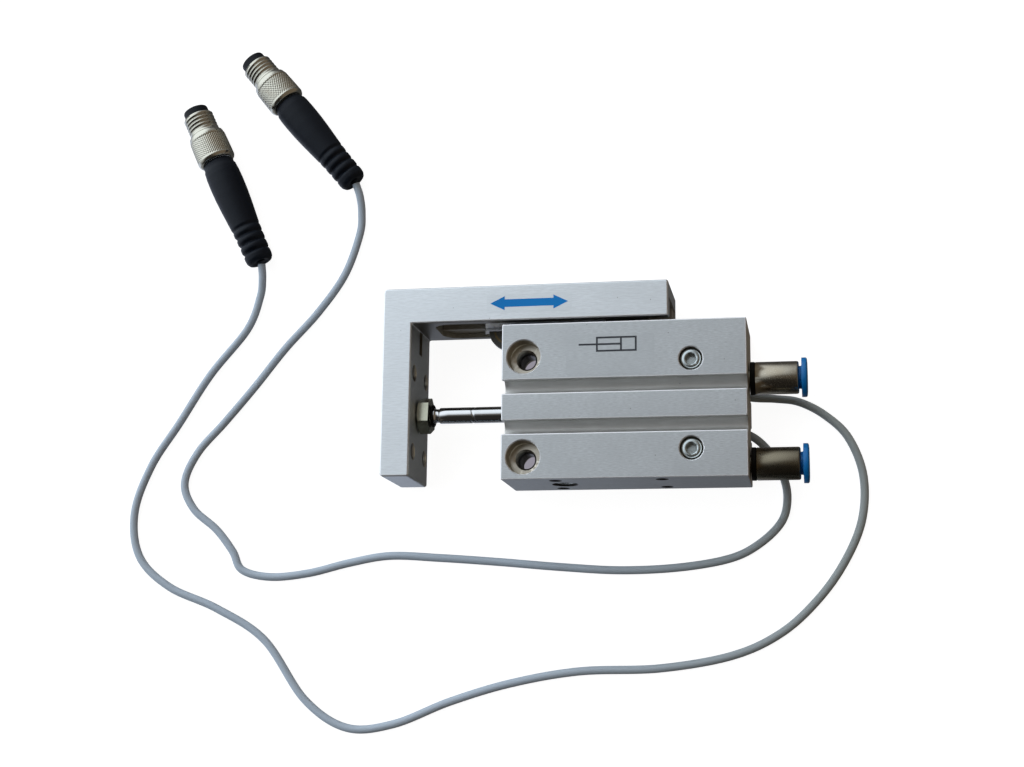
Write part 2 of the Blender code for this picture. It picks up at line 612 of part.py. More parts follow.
def build_rod_train():
    """Piston rod with its nut and collar, and the piston with what it carries."""
    rod_end, rod_front = -6.6, YOKE_X_OUT + 0.4
    length = rod_end - rod_front
    neck_x, neck_end = -47.6 - rod_front, -46.7 - rod_front
    shoulder = -16.6 - rod_front
    rod = [
        (0, length), (1.2, length), (1.4, length - 0.2), (1.4, shoulder),
        (ROD_R, shoulder), (ROD_R, neck_end + 0.2), (1.7, neck_end), (1.7, neck_x),
        (ROD_R, neck_x - 0.3), (ROD_R, 0.4), (ROD_R - 0.4, 0), (0, 0),
    ]
    train = [turned("piston_rod", rod, (rod_front, 0, AXIS_Z), (1, 0, 0), CHROME,
                    sides=20)]
    nut = cylinder("rod_nut", 8 / sqrt(3), (YOKE_X_IN + GAP, 0, AXIS_Z),
                   (-48.9, 0, AXIS_Z), NICKEL, PARTS, sides=6, edge=0.25)
    drill(nut, "nut_bore", ROD_R + GAP, (-53, 0, AXIS_Z), (-48, 0, AXIS_Z))
    train.append(nut)
    train.append(turned("rod_collar", ring_profile(ROD_R + GAP, 2.8, 0, 0.6, 0.1),
                        (-48.7, 0, AXIS_Z), (1, 0, 0), RUBBER))
    start = (-16.3, 0, AXIS_Z)
    piston = [
        (4.7, 5.7), (4.7, 3.6), (3.4, 3.6), (3.4, 1.8), (4.7, 1.8), (4.7, 0.3),
        (4.4, 0), (1.7, 0), (1.7, 5.7),
    ]
    train.append(turned("piston", piston, start, (1, 0, 0), ALUMINIUM))
    train.append(torus("piston_seal", 4.2, 0.5, (-13.6, 0, AXIS_Z), (1, 0, 0), RUBBER))
    train.append(turned("piston_magnet", ring_profile(1.7, 4.2, 0, 2.0, 0.2),
                        (-10.3, 0, AXIS_Z), (1, 0, 0), STEEL, sides=20))
    piston_nut = cylinder("piston_nut", 3.0, (-8.0, 0, AXIS_Z), (-6.2, 0, AXIS_Z),
                          STEEL, PARTS, sides=6)
    drill(piston_nut, "piston_nut_bore", 1.7, (-9, 0, AXIS_Z), (-5, 0, AXIS_Z), 16)
    train.append(piston_nut)
    return train


def hang_on(name, pieces):
    """Parent pieces to an empty on the cylinder's axis, without moving them."""
    holder = bpy.data.objects.new(name, None)
    PARTS.objects.link(holder)
    holder.location = (0, 0, AXIS_Z * MM)
    bpy.context.view_layer.update()
    for piece in pieces:
        piece.parent = holder
        piece.matrix_parent_inverse = holder.matrix_world.inverted()


# ---- sensors, leads and plugs ----------------------------------------------------
SENSOR_LENGTH = 20.0
SENSOR_REAR = (24.0, 4.0)


def build_sensor(number, y):
    rear = SENSOR_REAR[number - 1]
    front = rear - SENSOR_LENGTH
    sensor = cylinder(f"sensor_{number}", SLOT_R - 0.35, (front, y, SLOT_DEPTH),
                      (rear, y, SLOT_DEPTH), BLACK_PLASTIC, PARTS, sides=12)
    fuse(sensor, box(f"sensor_neck_{number}", (front + 0.01, y - 1.3, 0.4),
                     (rear - 0.01, y + 1.3, SLOT_DEPTH)))
    screw_x = front + 2.5
    drill(sensor, f"sensor_screw_hole_{number}", 1.2, (screw_x, y, -0.5),
          (screw_x, y, 3.2), 16)
    screw = cylinder(f"sensor_screw_{number}", 0.9, (screw_x, y, 2.9),
                     (screw_x, y, 0.5), STEEL, PARTS, sides=16)
    cut(screw, box(f"screw_slot_{number}", (screw_x - 1.2, y - 0.2, 0.2),
                   (screw_x + 1.2, y + 0.2, 1.0)))


GRIP_START = 16.5
GRIP_RINGS = 3
NUT_START, NUT_END = 2.0, 16.2


def grip_profile(length):
    """Moulded grip from its far, lead end down to the coupling nut."""
    profile = [(0, length), (2.6, length), (3.5, length - 0.8), (3.65, length - 2.2)]
    pitch = 3.0
    for i in range(GRIP_RINGS):
        top = length - 2.9 - i * pitch
        radius = 3.5 + 0.08 * i
        profile += [(radius - 0.5, top), (radius - 0.5, top - 0.9),
                    (radius + 0.1, top - 1.4)]
    profile += [(4.05, 33.5), (4.5, 27), (4.6, 22.5), (4.4, 18.2), (4.1, 17.7),
                (4.1, GRIP_START), (0, GRIP_START)]
    return profile


def build_plug(number, tip, end):
    """M8 plug: grip, contact carrier, three pins and the knurled coupling nut."""
    tip, end = Vector(tip), Vector(end)
    along = end - tip
    turned(f"connector_grip_{number}", grip_profile(along.length), tip, along,
           RUBBER, sides=18)
    carrier_r, carrier_end = 3.3, GRIP_START - GAP
    profile = [
        (0, carrier_end), (carrier_r, carrier_end), (carrier_r, 0.3),
        (carrier_r - 0.3, 0), (2.5, 0), (2.5, 6.0), (0, 6.0),
    ]
    carrier = turned(f"contact_carrier_{number}", profile, tip, along, BLACK_PLASTIC,
                     sides=18)
    axis = along.normalized()
    side = axis.cross(Vector((0, 0, 1))).normalized()
    up = side.cross(axis)
    for i in range(3):
        angle = 2 * pi * i / 3 + pi / 2
        foot = tip + (side * cos(angle) + up * sin(angle)) * 1.3
        cut(carrier, cylinder(f"pin_hole_{number}_{i}", 0.75, foot + axis * 5.0,
                              foot + axis * 10.5, sides=8))
        cylinder(f"contact_pin_{number}_{'abc'[i]}", 0.45, foot + axis * 1.0,
                 foot + axis * 10.0, GOLD, PARTS, sides=8)
    inner = carrier_r + GAP
    nut = [
        (4.6, NUT_END), (5.0, NUT_END - 0.8), (5.0, 9.4), (4.7, 7.8), (4.0, 7.0),
        (4.0, NUT_START + 0.4), (3.75, NUT_START), (inner, NUT_START),
        (inner, NUT_END),
    ]
    turned(f"coupling_nut_{number}", nut, tip, along, NICKEL)


# ---- assembly ----------------------------------------------------------------------
def build_all():
    build_housing()
    build_front_cap()
    build_plugs()
    build_guide()
    for number, y in enumerate(PORT_Y, start=1):
        build_fitting(number, y)
    carriage = [build_yoke(), *build_race_strips(), *build_rod_train()]
    hang_on("carriage_axis", carriage)
    hang_on("cage_axis", [build_ball_cage()])
    for number, side in ((1, 1), (2, -1)):
        build_sensor(number, side * SLOT_Y)
    cable("cable_1", CABLE_1_ROUTE)
    cable("cable_2", CABLE_2_ROUTE)
    build_plug(1, PLUG_1_TIP, PLUG_1_END)
    build_plug(2, PLUG_2_TIP, PLUG_2_END)


build_all()
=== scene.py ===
"""Looks of the pneumatic mini slide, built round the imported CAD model.

Sizes are written in millimetres, in the CAD's own frame, and the helpers turn
them into metres: +X runs to the fittings, +Y to the guide, and +Z is up.
"""

import json
from math import atan2, cos, pi, radians, sin, sqrt

import bmesh
import bpy
from mathutils import Matrix, Vector


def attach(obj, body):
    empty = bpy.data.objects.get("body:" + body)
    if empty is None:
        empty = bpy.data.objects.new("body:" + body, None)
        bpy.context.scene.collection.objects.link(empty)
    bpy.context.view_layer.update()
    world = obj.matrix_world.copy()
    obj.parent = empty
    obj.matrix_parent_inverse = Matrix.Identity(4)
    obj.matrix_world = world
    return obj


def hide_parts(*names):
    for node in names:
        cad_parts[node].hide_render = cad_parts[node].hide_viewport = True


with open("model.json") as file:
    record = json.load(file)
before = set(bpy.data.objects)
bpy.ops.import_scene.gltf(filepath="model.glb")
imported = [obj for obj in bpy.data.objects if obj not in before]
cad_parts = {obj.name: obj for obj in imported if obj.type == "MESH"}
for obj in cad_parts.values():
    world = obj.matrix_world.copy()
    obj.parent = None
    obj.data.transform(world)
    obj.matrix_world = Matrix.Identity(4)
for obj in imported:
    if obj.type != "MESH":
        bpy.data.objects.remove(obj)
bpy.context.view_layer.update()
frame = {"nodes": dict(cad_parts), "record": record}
SCENE = bpy.context.scene
MM = 0.001

HOUSING_X = 29.4               # half length of the housing
HOUSING_Y = (-17.6, 20.4)
TOP_Z = 20.0
AXIS_Z = 10.0
BOLT_X, BOLT_Y = -24, 12.25    # fixing holes
PLUG_X, PLUG_Y = 16.2, 10.75   # plugged ports in the top face
CROSS_X = -15.15               # plugged port in the side face
REAR_PORTS = (7.44, -13.34)    # Y of the ports with the fittings
YOKE_X = (-59.3, -52)          # the short leg's outer and inner face
SHARP_DEG = 38.0               # edges above this angle stay sharp


# ---- camera ------------------------------------------------------------------------
def build_camera():
    data = bpy.data.cameras.new("camera")
    data.lens = 60.0
    data.sensor_width = 36.0
    data.clip_start, data.clip_end = 0.01, 30.0
    camera = bpy.data.objects.new("camera", data)
    SCENE.collection.objects.link(camera)
    back = Vector((0.18184, -0.19785, 0.96322)).normalized()
    up = Vector((0.02549, 0.98017, 0.19652))
    right = up.cross(back).normalized()
    up = back.cross(right)
    turn = Matrix((right, up, back)).transposed().to_4x4()
    camera.matrix_world = Matrix.Translation((0.04797, -0.07562, 0.41593)) @ turn
    SCENE.camera = camera


build_camera()


# ---- materials ---------------------------------------------------------------------
def add_node(tree, kind, inputs=(), **settings):
    """A shader node with its settings; an input is a value or another's output."""
    made = tree.nodes.new(kind)
    for key, value in settings.items():
        setattr(made, key, value)
    for key, value in dict(inputs).items():
        if isinstance(value, bpy.types.NodeSocket):
            tree.links.new(value, made.inputs[key])
        else:
            made.inputs[key].default_value = value
    return made


def noise(tree, coords, size, stretch=(1, 1, 1), detail=4.0, rough=0.55):
    """Noise with features of about size millimetres, stretched along the axes."""
    scale = [1 / (size * MM * s) for s in stretch]
    place = add_node(tree, "ShaderNodeMapping", {"Vector": coords, "Scale": scale})
    return add_node(tree, "ShaderNodeTexNoise", {
        "Vector": place.outputs["Vector"], "Scale": 1.0, "Detail": detail,
        "Roughness": rough}).outputs["Fac"]


def spread(tree, value, low, high, start=0.3, end=0.7):
    """The value from start to end turned into low to high."""
    return add_node(tree, "ShaderNodeMapRange", {
        "Value": value, "From Min": start, "From Max": end, "To Min": low,
        "To Max": high}).outputs["Result"]


def tint(tree, amount, first, second):
    """Colour between first and second; each is a colour or another node's output."""
    mix = tree.nodes.new("ShaderNodeMix")
    mix.data_type = "RGBA"
    sockets = [s for s in mix.inputs if s.type == "RGBA"]
    tree.links.new(amount, mix.inputs[0])
    for socket, value in zip(sockets, (first, second)):
        if isinstance(value, bpy.types.NodeSocket):
            tree.links.new(value, socket)
        else:
            socket.default_value = (*value, 1.0)
    return next(s for s in mix.outputs if s.type == "RGBA")


SOCKETS = {"specular_ior_level": "Specular IOR Level"}
SPECK_SPACING = 3.4
PAINTED_SHADE_X = (-30, 50)             # where a surface turns into its painted far shade


def surface(name, colour, rough, metal=0.0, size=0.3, stretch=(1, 1, 1), vary=0.08,
            rough_vary=0.06, bump=0.2, depth=0.01, blotch=6.0, blotch_vary=0.05,
            stain=None, specks=0.0, painted_far_shade=None, **constants):
    """A procedural finish: fine grain, larger blotches, stains and dark specks.

    size and blotch are the grain's and the blotches' sizes and depth the grain's
    height, in millimetres.  painted_far_shade is the painted shade that the colour
    turns into towards +X.  constants are values set on the shader's own sockets.
    """
    material = bpy.data.materials.new(name)
    material.use_nodes = True
    tree = material.node_tree
    shader = tree.nodes["Principled BSDF"]
    coords = tree.nodes.new("ShaderNodeTexCoord").outputs["Object"]
    grain = noise(tree, coords, size, stretch)
    cloud = noise(tree, coords, blotch, detail=3.0)
    dark = [c * (1 - vary) for c in colour]
    light = [min(1.0, c * (1 + vary)) for c in colour]
    shade = tint(tree, spread(tree, grain, 0, 1), dark, light)
    faded = [c * (1 - 2 * blotch_vary) for c in colour]
    shade = tint(tree, spread(tree, cloud, 0, 0.5, 0.35, 0.75), shade, faded)
    if stain:
        patches = noise(tree, coords, 1.7 * blotch, detail=5.0, rough=0.65)
        shade = tint(tree, spread(tree, patches, 0, 0.6, 0.55, 0.8), shade, stain)
    if specks:
        place = add_node(tree, "ShaderNodeMapping", {
            "Vector": coords, "Scale": [1 / (SPECK_SPACING * MM)] * 3})
        cells = add_node(tree, "ShaderNodeTexVoronoi", {
            "Vector": place.outputs["Vector"], "Scale": 1.0})
        spots = spread(tree, cells.outputs["Distance"], specks, 0, 0.02, 0.05)
        shade = tint(tree, spots, shade, [c * 0.25 for c in colour])
    # painted shade: the colour turns into painted_far_shade towards +X
    if painted_far_shade:
        place = add_node(tree, "ShaderNodeSeparateXYZ", {"Vector": coords})
        fade = spread(tree, place.outputs["X"], 0, 1, *(x * MM for x in PAINTED_SHADE_X))
        shade = tint(tree, fade, shade, painted_far_shade)
    tree.links.new(shade, shader.inputs["Base Color"])
    tree.links.new(spread(tree, grain, rough - rough_vary, rough + rough_vary),
                   shader.inputs["Roughness"])
    relief = add_node(tree, "ShaderNodeBump", {
        "Strength": bump, "Distance": depth * MM, "Height": grain})
    tree.links.new(relief.outputs["Normal"], shader.inputs["Normal"])
    shader.inputs["Metallic"].default_value = metal
    for key, value in constants.items():
        shader.inputs[SOCKETS[key]].default_value = value
    return material


FINISH = {
    "anodised_aluminium": surface(
        "anodised_aluminium", (0.55, 0.58, 0.60), 0.52, 1.0, size=0.2,
        stretch=(6, 1, 1), vary=0.17, bump=0.6, depth=0.016, blotch=9,
        blotch_vary=0.06, specks=0.8),
    "bright_aluminium": surface(
        "bright_aluminium", (0.70, 0.74, 0.77), 0.46, 1.0, size=0.17,
        stretch=(10, 1.4, 1), vary=0.11, bump=0.5, depth=0.014, blotch=12,
        specks=0.7),
    "hardened_steel": surface(
        "hardened_steel", (0.36, 0.36, 0.37), 0.3, 1.0, size=0.1,
        stretch=(12, 1, 1), bump=0.3, depth=0.008, stain=(0.16, 0.13, 0.10)),
    "chromed_steel": surface(
        "chromed_steel", (0.55, 0.56, 0.57), 0.1, 1.0, size=0.12,
        stretch=(9, 1, 1), vary=0.03, rough_vary=0.03, bump=0.15, depth=0.004,
        stain=(0.45, 0.44, 0.42)),
    "nickel_plated_brass": surface(
        "nickel_plated_brass", (0.53, 0.52, 0.45), 0.2, 1.0, size=0.2,
        vary=0.04, rough_vary=0.05, bump=0.12, depth=0.006,
        stain=(0.42, 0.34, 0.24)),
    "brass": surface(
        "brass", (0.66, 0.50, 0.24), 0.3, 1.0, size=0.15, bump=0.2, depth=0.006,
        stain=(0.35, 0.24, 0.11)),
    "zinc_plated_steel": surface(
        "zinc_plated_steel", (0.40, 0.445, 0.455), 0.26, 1.0, size=0.18, vary=0.1,
        bump=0.2, depth=0.008, stain=(0.5, 0.52, 0.46)),
    "black_rubber": surface(
        "black_rubber", (0.004, 0.004, 0.004), 0.6, size=0.2, vary=0.3, bump=0.3,
        depth=0.02, specular_ior_level=0.12),
    "black_plastic": surface(
        "black_plastic", (0.006, 0.008, 0.012), 0.5, size=0.15, vary=0.3,
        bump=0.3, depth=0.015, specular_ior_level=0.15),
    "black_overmould": surface(
        "black_overmould", (0.004, 0.008, 0.016), 0.5, size=0.16, vary=0.5,
        bump=0.6, depth=0.04, blotch=5, blotch_vary=0.15, specular_ior_level=0.22),
    "blue_plastic": surface(
        "blue_plastic", (0.001, 0.17, 0.50), 0.38, size=0.3, vary=0.06, bump=0.1,
        depth=0.01, specular_ior_level=0.35),
    # grey jacket tinted bluish by painted window light on the left, turning into a
    # painted shade towards +X
    "grey_cable_jacket": surface(
        "grey_cable_jacket", (0.52, 0.615, 0.72), 0.5, size=0.25, vary=0.06,
        bump=0.3, depth=0.02, blotch=14, blotch_vary=0.07,
        painted_far_shade=(0.36, 0.40, 0.40)),
    "gold_plated_contact": surface(
        "gold_plated_contact", (0.86, 0.62, 0.24), 0.18, 1.0, size=0.1, bump=0.1,
        depth=0.003),
}
BORED = surface("bored_aluminium", (0.53, 0.50, 0.43), 0.34, 1.0, size=0.12,
                stretch=(1, 1, 0.6), vary=0.1, bump=0.3, depth=0.01)
# darker aluminium inside tapped holes: painted shade in the recess
TAPPED_HOLE_SHADE = surface("tapped_hole_painted_shade", (0.27, 0.265, 0.255), 0.34, 1.0, size=0.12,
                 bump=0.2)
# near-black lining of deep holes and ports: painted shade
DEEP_HOLE_SHADE = surface("deep_hole_painted_shade", (0.055, 0.05, 0.048), 0.4, 1.0, size=0.12, bump=0.2)
# dark copy of the yoke's aluminium for its inner face towards the housing: painted
# shade
YOKE_INNER_SHADE = surface("yoke_inner_painted_shade", (0.16, 0.155, 0.14), 0.45, 1.0, size=0.14,
                 stretch=(14, 1, 1), vary=0.08, bump=0.3, depth=0.01)
# brown, nearly non-metal finish for the yoke's channel, lighter than its shade allows:
# painted light
CHANNEL_PAINTED_LIGHT = surface("channel_painted_light", (0.36, 0.34, 0.29), 0.4, 0.1, size=0.14,
                  stretch=(14, 1, 1), vary=0.1, bump=0.3, depth=0.01)
# sawn end faces, made light beige to make up for the dark surroundings they face:
# partly painted light
SAWN_PAINTED_LIGHT = surface("sawn_end_painted_light", (0.80, 0.73, 0.60), 0.5, 1.0, size=0.14,
               stretch=(1, 9, 1), vary=0.15, bump=0.4, depth=0.014)
# lighter copy of the aluminium for the sensor slots' walls: painted light against the
# shade in the slots
SLOT_PAINTED_LIGHT = surface("slot_wall_painted_light", (0.665, 0.67, 0.66), 0.5, 1.0, size=0.16,
                stretch=(16, 1, 1), vary=0.08, bump=0.4, depth=0.012, blotch=7,
                blotch_vary=0.08, specks=0.7)
LABEL_FILM = surface("label_film", (0.535, 0.565, 0.585), 0.52, 1.0, size=0.2,
                     stretch=(6, 1, 1), vary=0.12, bump=0.5, depth=0.014)
SLIDE_FILM = surface("slide_label_film", (0.67, 0.71, 0.74), 0.46, 1.0, size=0.17,
                     stretch=(10, 1.4, 1), vary=0.08, bump=0.4, depth=0.012)
# brown, nearly non-metal finish for the steel race strips, lighter than their shade
# allows: painted light
RACE_PAINTED_LIGHT = surface("race_painted_light", (0.36, 0.335, 0.29), 0.4, 0.1, size=0.14,
               stretch=(14, 1, 1), vary=0.1, bump=0.3, depth=0.01)
FITTING_NICKEL = surface("fitting_nickel", (0.35, 0.32, 0.26), 0.23, 1.0, size=0.12,
                         stretch=(1, 3, 3), vary=0.12, rough_vary=0.06, bump=0.3,
                         depth=0.008, stain=(0.27, 0.22, 0.15))
# darker copy of the fitting nickel for the second fitting: painted shade
SHADED_NICKEL = surface("nickel_painted_shade", (0.17, 0.15, 0.11), 0.28, 1.0, size=0.12,
                      stretch=(1, 3, 3), vary=0.14, rough_vary=0.06, bump=0.3,
                      depth=0.008, stain=(0.15, 0.12, 0.08))
NUT_NICKEL = surface("nut_nickel", (0.36, 0.36, 0.285), 0.22, 1.0, size=0.2, vary=0.1,
                     rough_vary=0.08, bump=0.2, depth=0.01, stain=(0.2, 0.2, 0.15))
# dark bronze colour for the strip along the caps' round edge: painted sheen
CAP_EDGE_SHEEN = surface("cap_edge_painted_sheen", (0.13, 0.095, 0.05), 0.4, 1.0, size=0.15,
                 bump=0.2, depth=0.006)
# near-white finish on the top edges' bevels: painted highlight
ARRIS_HIGHLIGHT = surface("arris_painted_highlight", (0.93, 0.96, 1.0), 0.5, 1.0, size=0.12, vary=0.16,
                depth=0.008)
# near-white strip finish for the cage's front edge: painted highlight
CAGE_EDGE_HIGHLIGHT = surface("cage_edge_painted_highlight", (0.97, 0.98, 1.0), 0.45, 0.0, size=0.14)
# the cage's steel sheet, near-white and non-metal so that it reads light in its shade:
# painted light
CAGE_SHEET_PAINTED_LIGHT = surface("cage_sheet_painted_light", (0.86, 0.89, 0.94), 0.4, 0.0, size=0.14,
                     stretch=(1, 1, 12), vary=0.06, bump=0.25, depth=0.01)
CAP_PLASTIC = surface("cap_plastic", (0.035, 0.032, 0.022), 0.4, size=0.2, vary=0.3,
                      bump=0.3, depth=0.02)
BLUE_PRINT = surface("blue_print", (0.001, 0.245, 0.72), 0.45, size=0.2, vary=0.05,
                     bump=0.1, depth=0.004, specular_ior_level=0.2)
DARK_PRINT = surface("dark_print", (0.03, 0.035, 0.045), 0.45, size=0.2, vary=0.2,
                     bump=0.1, depth=0.004)


# ---- mesh helpers ------------------------------------------------------------------
def new_object(name, bm, sharp_deg=SHARP_DEG):
    """An object from a bmesh, shaded smooth up to the given edge angle."""
    bmesh.ops.recalc_face_normals(bm, faces=bm.faces)
    mesh = bpy.data.meshes.new(name)
    bm.to_mesh(mesh)
    bm.free()
    obj = bpy.data.objects.new(name, mesh)
    SCENE.collection.objects.link(obj)
    shade(obj, sharp_deg)
    return obj


def shade(obj, sharp_deg=SHARP_DEG):
    obj.data.shade_smooth()
    obj.data.set_sharp_from_angle(angle=radians(sharp_deg))


def frame_at(start, direction):
    """Local +Z along direction, and local +Y as near to straight up as it gets."""
    z_axis = Vector(direction).normalized()
    upright = Vector((0, 0, 1)) if abs(z_axis.z) < 0.9 else Vector((0, 1, 0))
    x_axis = upright.cross(z_axis).normalized()
    turn = Matrix((x_axis, z_axis.cross(x_axis), z_axis)).transposed().to_4x4()
    return Matrix.Translation(Vector(start) * MM) @ turn


def lathe(name, profile, start, direction, segments=64, shape=None,
          sharp_deg=SHARP_DEG):
    """Turn (radius, height) points about the line from start.

    A profile that starts and ends at radius 0 is solid; any other is closed into
    a ring.  shape(angle, radius, height) may change the radius of each point.
    """
    bm = bmesh.new()
    rings = []
    for radius, height in profile:
        if radius == 0:
            rings.append([bm.verts.new((0, 0, height * MM))])
            continue
        ring = []
        for k in range(segments):
            angle = 2 * pi * k / segments
            r = shape(angle, radius, height) if shape else radius
            ring.append(bm.verts.new((r * cos(angle) * MM, r * sin(angle) * MM,
                                      height * MM)))
        rings.append(ring)
    pairs = list(zip(rings, rings[1:]))
    if profile[0][0] != 0:
        pairs.append((rings[-1], rings[0]))
    for low, high in pairs:
        for k in range(segments):
            n = (k + 1) % segments
            corners = [low[k % len(low)], low[n % len(low)],
                       high[n % len(high)], high[k % len(high)]]
            unique = list(dict.fromkeys(corners))
            bm.faces.new(unique)
    obj = new_object(name, bm, sharp_deg)
    obj.matrix_world = frame_at(start, direction)
    return obj


PLANES = {"X": lambda a, b, t: (t, a, b), "Y": lambda a, b, t: (a, t, b),
          "Z": lambda a, b, t: (a, b, t)}


def extrude(name, outline, axis, low, high):
    """A flat outline, in the two other axes, drawn out along axis."""
    bm = bmesh.new()
    ends = [[bm.verts.new(Vector(PLANES[axis](a, b, t)) * MM) for a, b in outline]
            for t in (low, high)]
    bm.faces.new(ends[0])
    bm.faces.new(ends[1])
    for k, vert in enumerate(ends[0]):
        n = (k + 1) % len(outline)
        bm.faces.new((vert, ends[0][n], ends[1][n], ends[1][k]))
    return new_object(name, bm)


def block(name, low, high):
    outline = [(low[0], low[1]), (high[0], low[1]), (high[0], high[1]),
               (low[0], high[1])]
    return extrude(name, outline, "Z", low[2], high[2])


def arc(centre, radius, start_deg, end_deg, steps):
    """Points on an arc, both ends included."""
    angles = [radians(start_deg + (end_deg - start_deg) * i / steps)
              for i in range(steps + 1)]
    return [(centre[0] + radius * cos(a), centre[1] + radius * sin(a))
            for a in angles]


def rounded(low, high, radius, steps=5):
    """Outline of a rectangle with round corners."""
    (x0, y0), (x1, y1) = low, high
    corners = (((x1 - radius, y1 - radius), 0), ((x0 + radius, y1 - radius), 90),
               ((x0 + radius, y0 + radius), 180), ((x1 - radius, y0 + radius), 270))
    return [p for centre, turn in corners
            for p in arc(centre, radius, turn, turn + 90, steps)]


def settle(obj):
    """Put the result of an object's modifiers into its mesh."""
    graph = bpy.context.evaluated_depsgraph_get()
    mesh = bpy.data.meshes.new_from_object(obj.evaluated_get(graph))
    obj.modifiers.clear()
    obj.data = mesh
    shade(obj)


def soften(obj, width, segments=2):
    """Round an object's sharp edges."""
    bevel = obj.modifiers.new("edges", "BEVEL")
    bevel.width = width * MM
    bevel.segments = segments
    bevel.limit_method = "ANGLE"
    bevel.angle_limit = radians(SHARP_DEG)
    bevel.use_clamp_overlap = True
    settle(obj)


def carve(obj, cutters, operation="DIFFERENCE", bored=False):
    """Cut all the cutters from an object, and remove them.

    bored gives the cut faces the finish of machined bores.
    """
    tools = bpy.data.collections.new("tools")
    SCENE.collection.children.link(tools)
    for cutter in cutters:
        tools.objects.link(cutter)
    if bored:
        obj.data.materials.append(CUT_FROM)
        for cutter in cutters:
            if not cutter.data.materials:
                cutter.data.materials.append(BORED)
    modifier = obj.modifiers.new("carve", "BOOLEAN")
    modifier.operation = operation
    modifier.operand_type = "COLLECTION"
    modifier.collection = tools
    modifier.solver = "EXACT"
    modifier.material_mode = "TRANSFER"
    settle(obj)
    for cutter in cutters:
        bpy.data.objects.remove(cutter, do_unlink=True)
    bpy.data.collections.remove(tools)


CUT_FROM = bpy.data.materials.new("cut_from")


def lined(cutter, finish):
    """A cutter that leaves its own finish on the faces that it cuts."""
    cutter.data.materials.append(finish)
    return cutter


def even_faces(obj):
    """Keep wide flat faces flat where they meet small rounded ones."""
    weighted = obj.modifiers.new("even", "WEIGHTED_NORMAL")
    weighted.keep_sharp = True


def refinish(obj, finish, chosen, cut_too=False):
    """Give the faces for which chosen(centre in mm, normal) holds another finish.

    Faces that a cutter left keep theirs, unless cut_too is set.
    """
    obj.data.materials.append(finish)
    number = len(obj.data.materials) - 1
    for face in obj.data.polygons:
        free = cut_too or face.material_index == 0
        if free and chosen(face.center / MM, face.normal):
            face.material_index = number


ARRIS_DEPTH = 0.35


def top_arris(at, normal):
    """Whether a face is part of a rounded or chamfered edge of the top."""
    return at.z > TOP_Z - ARRIS_DEPTH and 0.2 < normal.z < 0.97


def dress(obj, slot, body, *nodes, finish=None):
    """Give a piece its finish, its body and the CAD nodes that it stands for."""
    if obj.type == "MESH":
        obj.data.transform(obj.matrix_world)
        obj.matrix_world = Matrix.Identity(4)
    if not obj.data.materials:
        obj.data.materials.append(None)
    obj.data.materials[0] = finish or FINISH[slot]
    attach(obj, body)
    if nodes:
        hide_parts(*nodes)
    return obj


def merge(name, objects):
    """One object from several that lie in the same frame."""
    bm = bmesh.new()
    for obj in objects:
        mesh = obj.data
        mesh.transform(obj.matrix_world)
        bm.from_mesh(mesh)
        bpy.data.objects.remove(obj, do_unlink=True)
    return new_object(name, bm)


# ---- leads: the CAD's own routes ---------------------------------------------------
CABLE_D = 2.0
CABLE_1_ROUTE = [
    (24.4, 4.9, 2.0), (27.5, 4.6, 1.9), (31, 4.2, 1.5), (35.5, 4.0, 1.1),
    (41, 3.1, 1.05), (47, -0.2, 1.05), (52.5, -5.8, 1.05), (55.8, -15, 1.05),
    (55.3, -25.5, 1.05), (51.3, -35.2, 1.05), (44.8, -44.4, 1.05),
    (35.8, -52.6, 1.05), (24, -58.1, 1.05), (6.5, -61.2, 1.05),
    (-13, -62, 1.05), (-30, -65, 1.05), (-45, -69.5, 1.05), (-59, -75, 1.05),
    (-71, -76, 1.05), (-82, -69.2, 1.05), (-93, -54.6, 1.05),
    (-106, -46.7, 1.05), (-119, -41.2, 1.05), (-127.5, -33.4, 1.05),
    (-129.5, -22, 1.05), (-125.5, -9.8, 1.05), (-118.5, 1.2, 1.05),
    (-110.5, 14, 1.05), (-101, 25.8, 1.05), (-97.7, 34.3, 1.5),
    (-96.8, 39, 2.9), (-96.9, 42.7, 3.73),
]
CABLE_2_ROUTE = [
    (4.4, -4.93, 2.0), (12, -4.9, 2.0), (20, -4.6, 1.9), (25.5, -4.35, 1.75),
    (29.4, -5.2, 1.5), (33.2, -8.6, 1.15), (36.4, -14, 1.05), (37.7, -20, 1.05),
    (36.3, -26, 1.05), (31, -31.3, 1.05), (23.8, -34.9, 1.05),
    (11.5, -37, 1.05), (-3, -37.6, 1.05), (-18, -36.7, 1.05),
    (-33, -35.4, 1.05), (-48, -34.3, 1.05), (-61, -33.7, 1.05),
    (-71.5, -35.4, 1.05), (-82, -37.9, 1.05), (-92, -38.8, 1.05),
    (-99.6, -37, 1.05), (-102.4, -32.2, 1.05), (-107, -26.6, 1.05),
    (-113.4, -21.2, 1.05), (-116.2, -14.5, 1.05), (-113, -6.6, 1.05),
    (-106, 1.3, 1.05), (-98.2, 10.5, 1.05), (-90.3, 20.5, 1.05),
    (-82, 29.6, 1.05), (-75, 39.6, 1.05), (-71.3, 50.3, 1.05),
    (-70.7, 56, 1.8), (-71, 60.2, 3.0), (-72, 63.5, 3.73),
]
PLUGS = {
    1: ((-116.6, 85.4, 5.65), (-97.1, 43.1, 3.75)),
    2: ((-101.2, 98.6, 5.65), (-72.3, 63.8, 3.75)),
}


